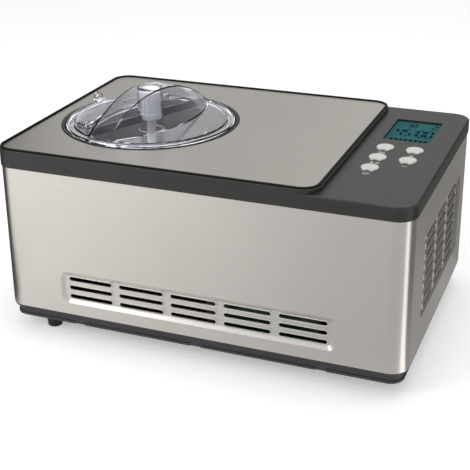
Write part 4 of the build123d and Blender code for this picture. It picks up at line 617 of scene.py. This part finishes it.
def vent_beads(name, place, columns, rows, pitch_x, pitch_z, slot):
    """Stamps one bead into every slot of a vent; place takes the vent's plane to the model."""
    bead = slot_bead(slot, SLOT_HEIGHT)
    shape = bmesh.new()
    for column in range(columns):
        for row in range(rows):
            x = (column - (columns - 1) / 2) * pitch_x
            z = (row - (rows - 1) / 2) * pitch_z
            known = len(shape.verts)
            shape.from_mesh(bead)
            bmesh.ops.transform(shape, matrix=place @ Matrix.Translation((x * MM, z * MM, 0.0)),
                                verts=shape.verts[known:])
    bpy.data.meshes.remove(bead)
    return new_piece(name, shape, bead_steel_painted_highlight, "main")


front_y = wrap_low[1] / MM + BEAD_DEPTH
right_x = wrap_high[0] / MM - BEAD_DEPTH
front_wall = wall_place((0.0, front_y, FRONT_VENT_Z), (1.0, 0.0, 0.0), (0.0, -1.0, 0.0))
right_wall = wall_place((right_x, SIDE_VENT_Y, SIDE_VENT_Z), (0.0, 1.0, 0.0), (1.0, 0.0, 0.0))
left_wall = wall_place((-right_x, SIDE_VENT_Y, SIDE_VENT_Z), (0.0, -1.0, 0.0), (-1.0, 0.0, 0.0))
vent_beads("front_slot_edges", front_wall, *FRONT_VENT)
vent_beads("right_slot_edges", right_wall, *SIDE_VENT)
vent_beads("left_slot_edges", left_wall, *SIDE_VENT)
print("detail pieces ready")

# %% [markdown]
# ## Studio
# A white floor and a white surround light the object evenly. The camera sees them nearly white,
# while reflections meet them at a lower level.

# %% Floor and surround
def ray_level(tree, direct, reflected):
    """One level for rays from the camera and through clear pieces, another for reflections."""
    path = tree.nodes.new("ShaderNodeLightPath")
    seen = add(tree, "ShaderNodeMath", operation="MAXIMUM")
    tree.links.new(path.outputs["Is Camera Ray"], seen.inputs[0])
    tree.links.new(path.outputs["Is Transmission Ray"], seen.inputs[1])
    shown = add(tree, "ShaderNodeMath", operation="MULTIPLY", values={1: direct})
    tree.links.new(seen.outputs["Value"], shown.inputs[0])
    mirrored = add(tree, "ShaderNodeMath", operation="MULTIPLY_ADD", values={1: reflected})
    tree.links.new(path.outputs["Is Glossy Ray"], mirrored.inputs[0])
    tree.links.new(shown.outputs["Value"], mirrored.inputs[2])
    return mirrored.outputs["Value"]


def flat_sheet(name, width, depth, place, taper=1.0):
    """A flat sheet with its object at the origin; place puts its mesh, taper narrows one end."""
    mesh = bpy.data.meshes.new(name)
    shape = bmesh.new()
    bmesh.ops.create_grid(shape, x_segments=1, y_segments=1, size=0.5)
    bmesh.ops.scale(shape, vec=(width, depth, 1.0), verts=shape.verts)
    bmesh.ops.scale(shape, vec=(taper, 1.0, 1.0), verts=[v for v in shape.verts if v.co.y > 0])
    bmesh.ops.transform(shape, matrix=place, verts=shape.verts)
    shape.to_mesh(mesh)
    shape.free()
    sheet = bpy.data.objects.new(name, mesh)
    bpy.context.collection.objects.link(sheet)
    return sheet


def floor_finish():
    """White paper with a glow that depends on the kind of ray."""
    material, tree, shader = new_material("floor_white", (0.86, 0.86, 0.86), 0.9, 0.0)
    shader.inputs["Emission Color"].default_value = (1.0, 1.0, 1.0, 1.0)
    tree.links.new(ray_level(tree, 0.38, 0.2), shader.inputs["Emission Strength"])
    return material


floor = flat_sheet("floor", 12.0, 12.0, Matrix.Translation((0, 0, 0)))
paint(floor, floor_finish())

WORLD_FLOOR = 0.55    # the least that any ray finds in the surround
world = bpy.data.worlds.new("studio")
bpy.context.scene.world = world
world.use_nodes = True
surround = world.node_tree
fill = surround.nodes["Background"]
fill.inputs["Color"].default_value = (1.0, 1.0, 1.0, 1.0)
level = add(surround, "ShaderNodeMath", operation="MAXIMUM", values={1: WORLD_FLOOR})
surround.links.new(ray_level(surround, 1.0, 0.85), level.inputs[0])
surround.links.new(level.outputs["Value"], fill.inputs["Strength"])
print("floor and surround ready")

# %% [markdown]
# Brushed steel shows what stands round it, so cards that only reflections see do the rest. The
# front card fades to the right, the corner cards put a bright line and a dark one on the right
# front corner, and the side, back and left cards keep those walls darker than the front.

# %% Cards that only reflections see
CORNER_X, CORNER_Y = 0.194, -0.122


def card(name, width, depth, place, levels, axis=0, span=(0.0, 1.0), taper=1.0):
    """A glowing card whose level runs between two values along an axis, over a span in metres."""
    sheet = flat_sheet(name, width, depth, place, taper)
    material = bpy.data.materials.new(name)
    material.use_nodes = True
    tree = material.node_tree
    where = tree.nodes.new("ShaderNodeTexCoord")
    split = tree.nodes.new("ShaderNodeSeparateXYZ")
    tree.links.new(where.outputs["Object"], split.inputs["Vector"])
    run = add(tree, "ShaderNodeMapRange", {"From Min": span[0], "From Max": span[1],
                                           "To Min": levels[0], "To Max": levels[1]})
    tree.links.new(split.outputs[axis], run.inputs["Value"])
    glow = add(tree, "ShaderNodeEmission", {"Color": (1.0, 0.985, 0.96, 1.0)})
    tree.links.new(run.outputs["Result"], glow.inputs["Strength"])
    tree.links.new(glow.outputs["Emission"], tree.nodes["Material Output"].inputs["Surface"])
    paint(sheet, material)
    for ray in ("camera", "diffuse", "shadow", "transmission", "volume_scatter"):
        setattr(sheet, "visible_" + ray, False)
    return sheet


def upright(x, y, z, turn):
    """Where an upright card stands: its middle, and its turn about Z in degrees."""
    return (Matrix.Translation((x, y, z)) @ Matrix.Rotation(math.radians(turn), 4, "Z")
            @ Matrix.Rotation(math.pi / 2, 4, "X"))


def level_at(x, y, z):
    """Where a level card lies: its middle."""
    return Matrix.Translation((x, y, z))


def beside_corner(turn, distance, z):
    """A level card pointing at the right front corner, out along a bearing in degrees."""
    bearing = math.radians(turn)
    out = (math.sin(bearing) * distance, math.cos(bearing) * distance)
    return level_at(CORNER_X + out[0], CORNER_Y - out[1], z) @ Matrix.Rotation(bearing, 4, "Z")


# name, width, depth, place, levels, and the axis and span over which the level runs
card("front_card", 3.2, 2.2, level_at(-0.1, -1.26, 0.002), (1.30, 0.56), 0, (-0.66, 0.10))
card("corner_card", 0.40, 1.0, beside_corner(83, 0.53, 0.0035), (1.7, 1.7), taper=0.07)
card("corner_shade", 0.50, 0.9, beside_corner(118, 0.58, 0.0030), (0.45, 0.03), 0, (0.26, 0.42))
card("side_floor_card", 1.0, 2.2, level_at(0.72, 0.98, 0.002), (0.38, 0.2), 0, (0.22, 0.6))
card("side_back_card", 0.5, 0.8, level_at(0.56, 0.83, 0.0025), (0.25, 0.5), 1, (0.43, 0.6))
card("side_card", 1.2, 0.9, upright(0.34, 0.64, 0.46, 90), (0.17, 0.22), 2, (0.0, 0.5))
card("left_card", 1.2, 0.9, upright(-0.75, 0.1, 0.46, 90), (0.12, 0.12))
card("left_floor_card", 0.94, 0.92, level_at(-0.72, 0.24, 0.0025), (0.07, 0.07))
card("back_floor_card", 2.6, 2.0, level_at(-1.08, 1.16, 0.002), (0.05, 0.05))
card("overhead_card", 2.4, 1.1, level_at(-0.1, -0.85, 1.25), (1.0, 0.42), 0, (-0.3, 0.15))
card("back_card", 3.0, 0.5, upright(-0.6, 1.9, 0.25, 0), (0.05, 0.05))
print("cards ready")

# %% [markdown]
# Two large soft lamps model the forms: one from the front left and one from above.

# %% Lamps
def soft_lamp(name, size, power, where, at):
    """A square area lamp at a place, turned to a point."""
    data = bpy.data.lights.new(name, "AREA")
    data.shape = "SQUARE"
    data.size = size
    data.energy = power
    lamp = bpy.data.objects.new(name, data)
    lamp.location = where
    lamp.rotation_euler = (Vector(at) - Vector(where)).to_track_quat("-Z", "Y").to_euler()
    bpy.context.collection.objects.link(lamp)
    return lamp


soft_lamp("key_lamp", 0.9, 9.0, (-1.1, -1.3, 1.1), (-0.05, 0.0, 0.12))
soft_lamp("top_lamp", 1.4, 10.0, (0.2, 0.3, 1.9), (0.0, 0.0, 0.15))
print("lamps ready")

# %% [markdown]
# ## Camera
# A long lens from the front right, a little above the deck, as for a product picture.

# %% Camera
SENSOR, FOCAL_LENGTH = 36.0, 82.953
SHIFT = -0.10
azimuth, elevation, roll = math.radians(21.62), math.radians(21.91), math.radians(-0.64)
distance = 1.1500
aim = Vector((-0.0090, 0.0, 0.1313))
away = Vector((math.sin(azimuth) * math.cos(elevation), -math.cos(azimuth) * math.cos(elevation),
               math.sin(elevation)))
lens = bpy.data.cameras.new("camera")
lens.sensor_width = SENSOR
lens.lens = FOCAL_LENGTH
lens.shift_y = SHIFT
camera = bpy.data.objects.new("camera", lens)
camera.location = aim + away * distance
turn = (-away).to_track_quat("-Z", "Y").to_matrix().to_4x4() @ Matrix.Rotation(roll, 4, "Z")
camera.rotation_euler = turn.to_euler()
bpy.context.collection.objects.link(camera)
bpy.context.scene.camera = camera
bpy.context.scene.view_settings.view_transform = "Standard"
print("camera at", [round(v, 3) for v in camera.location])
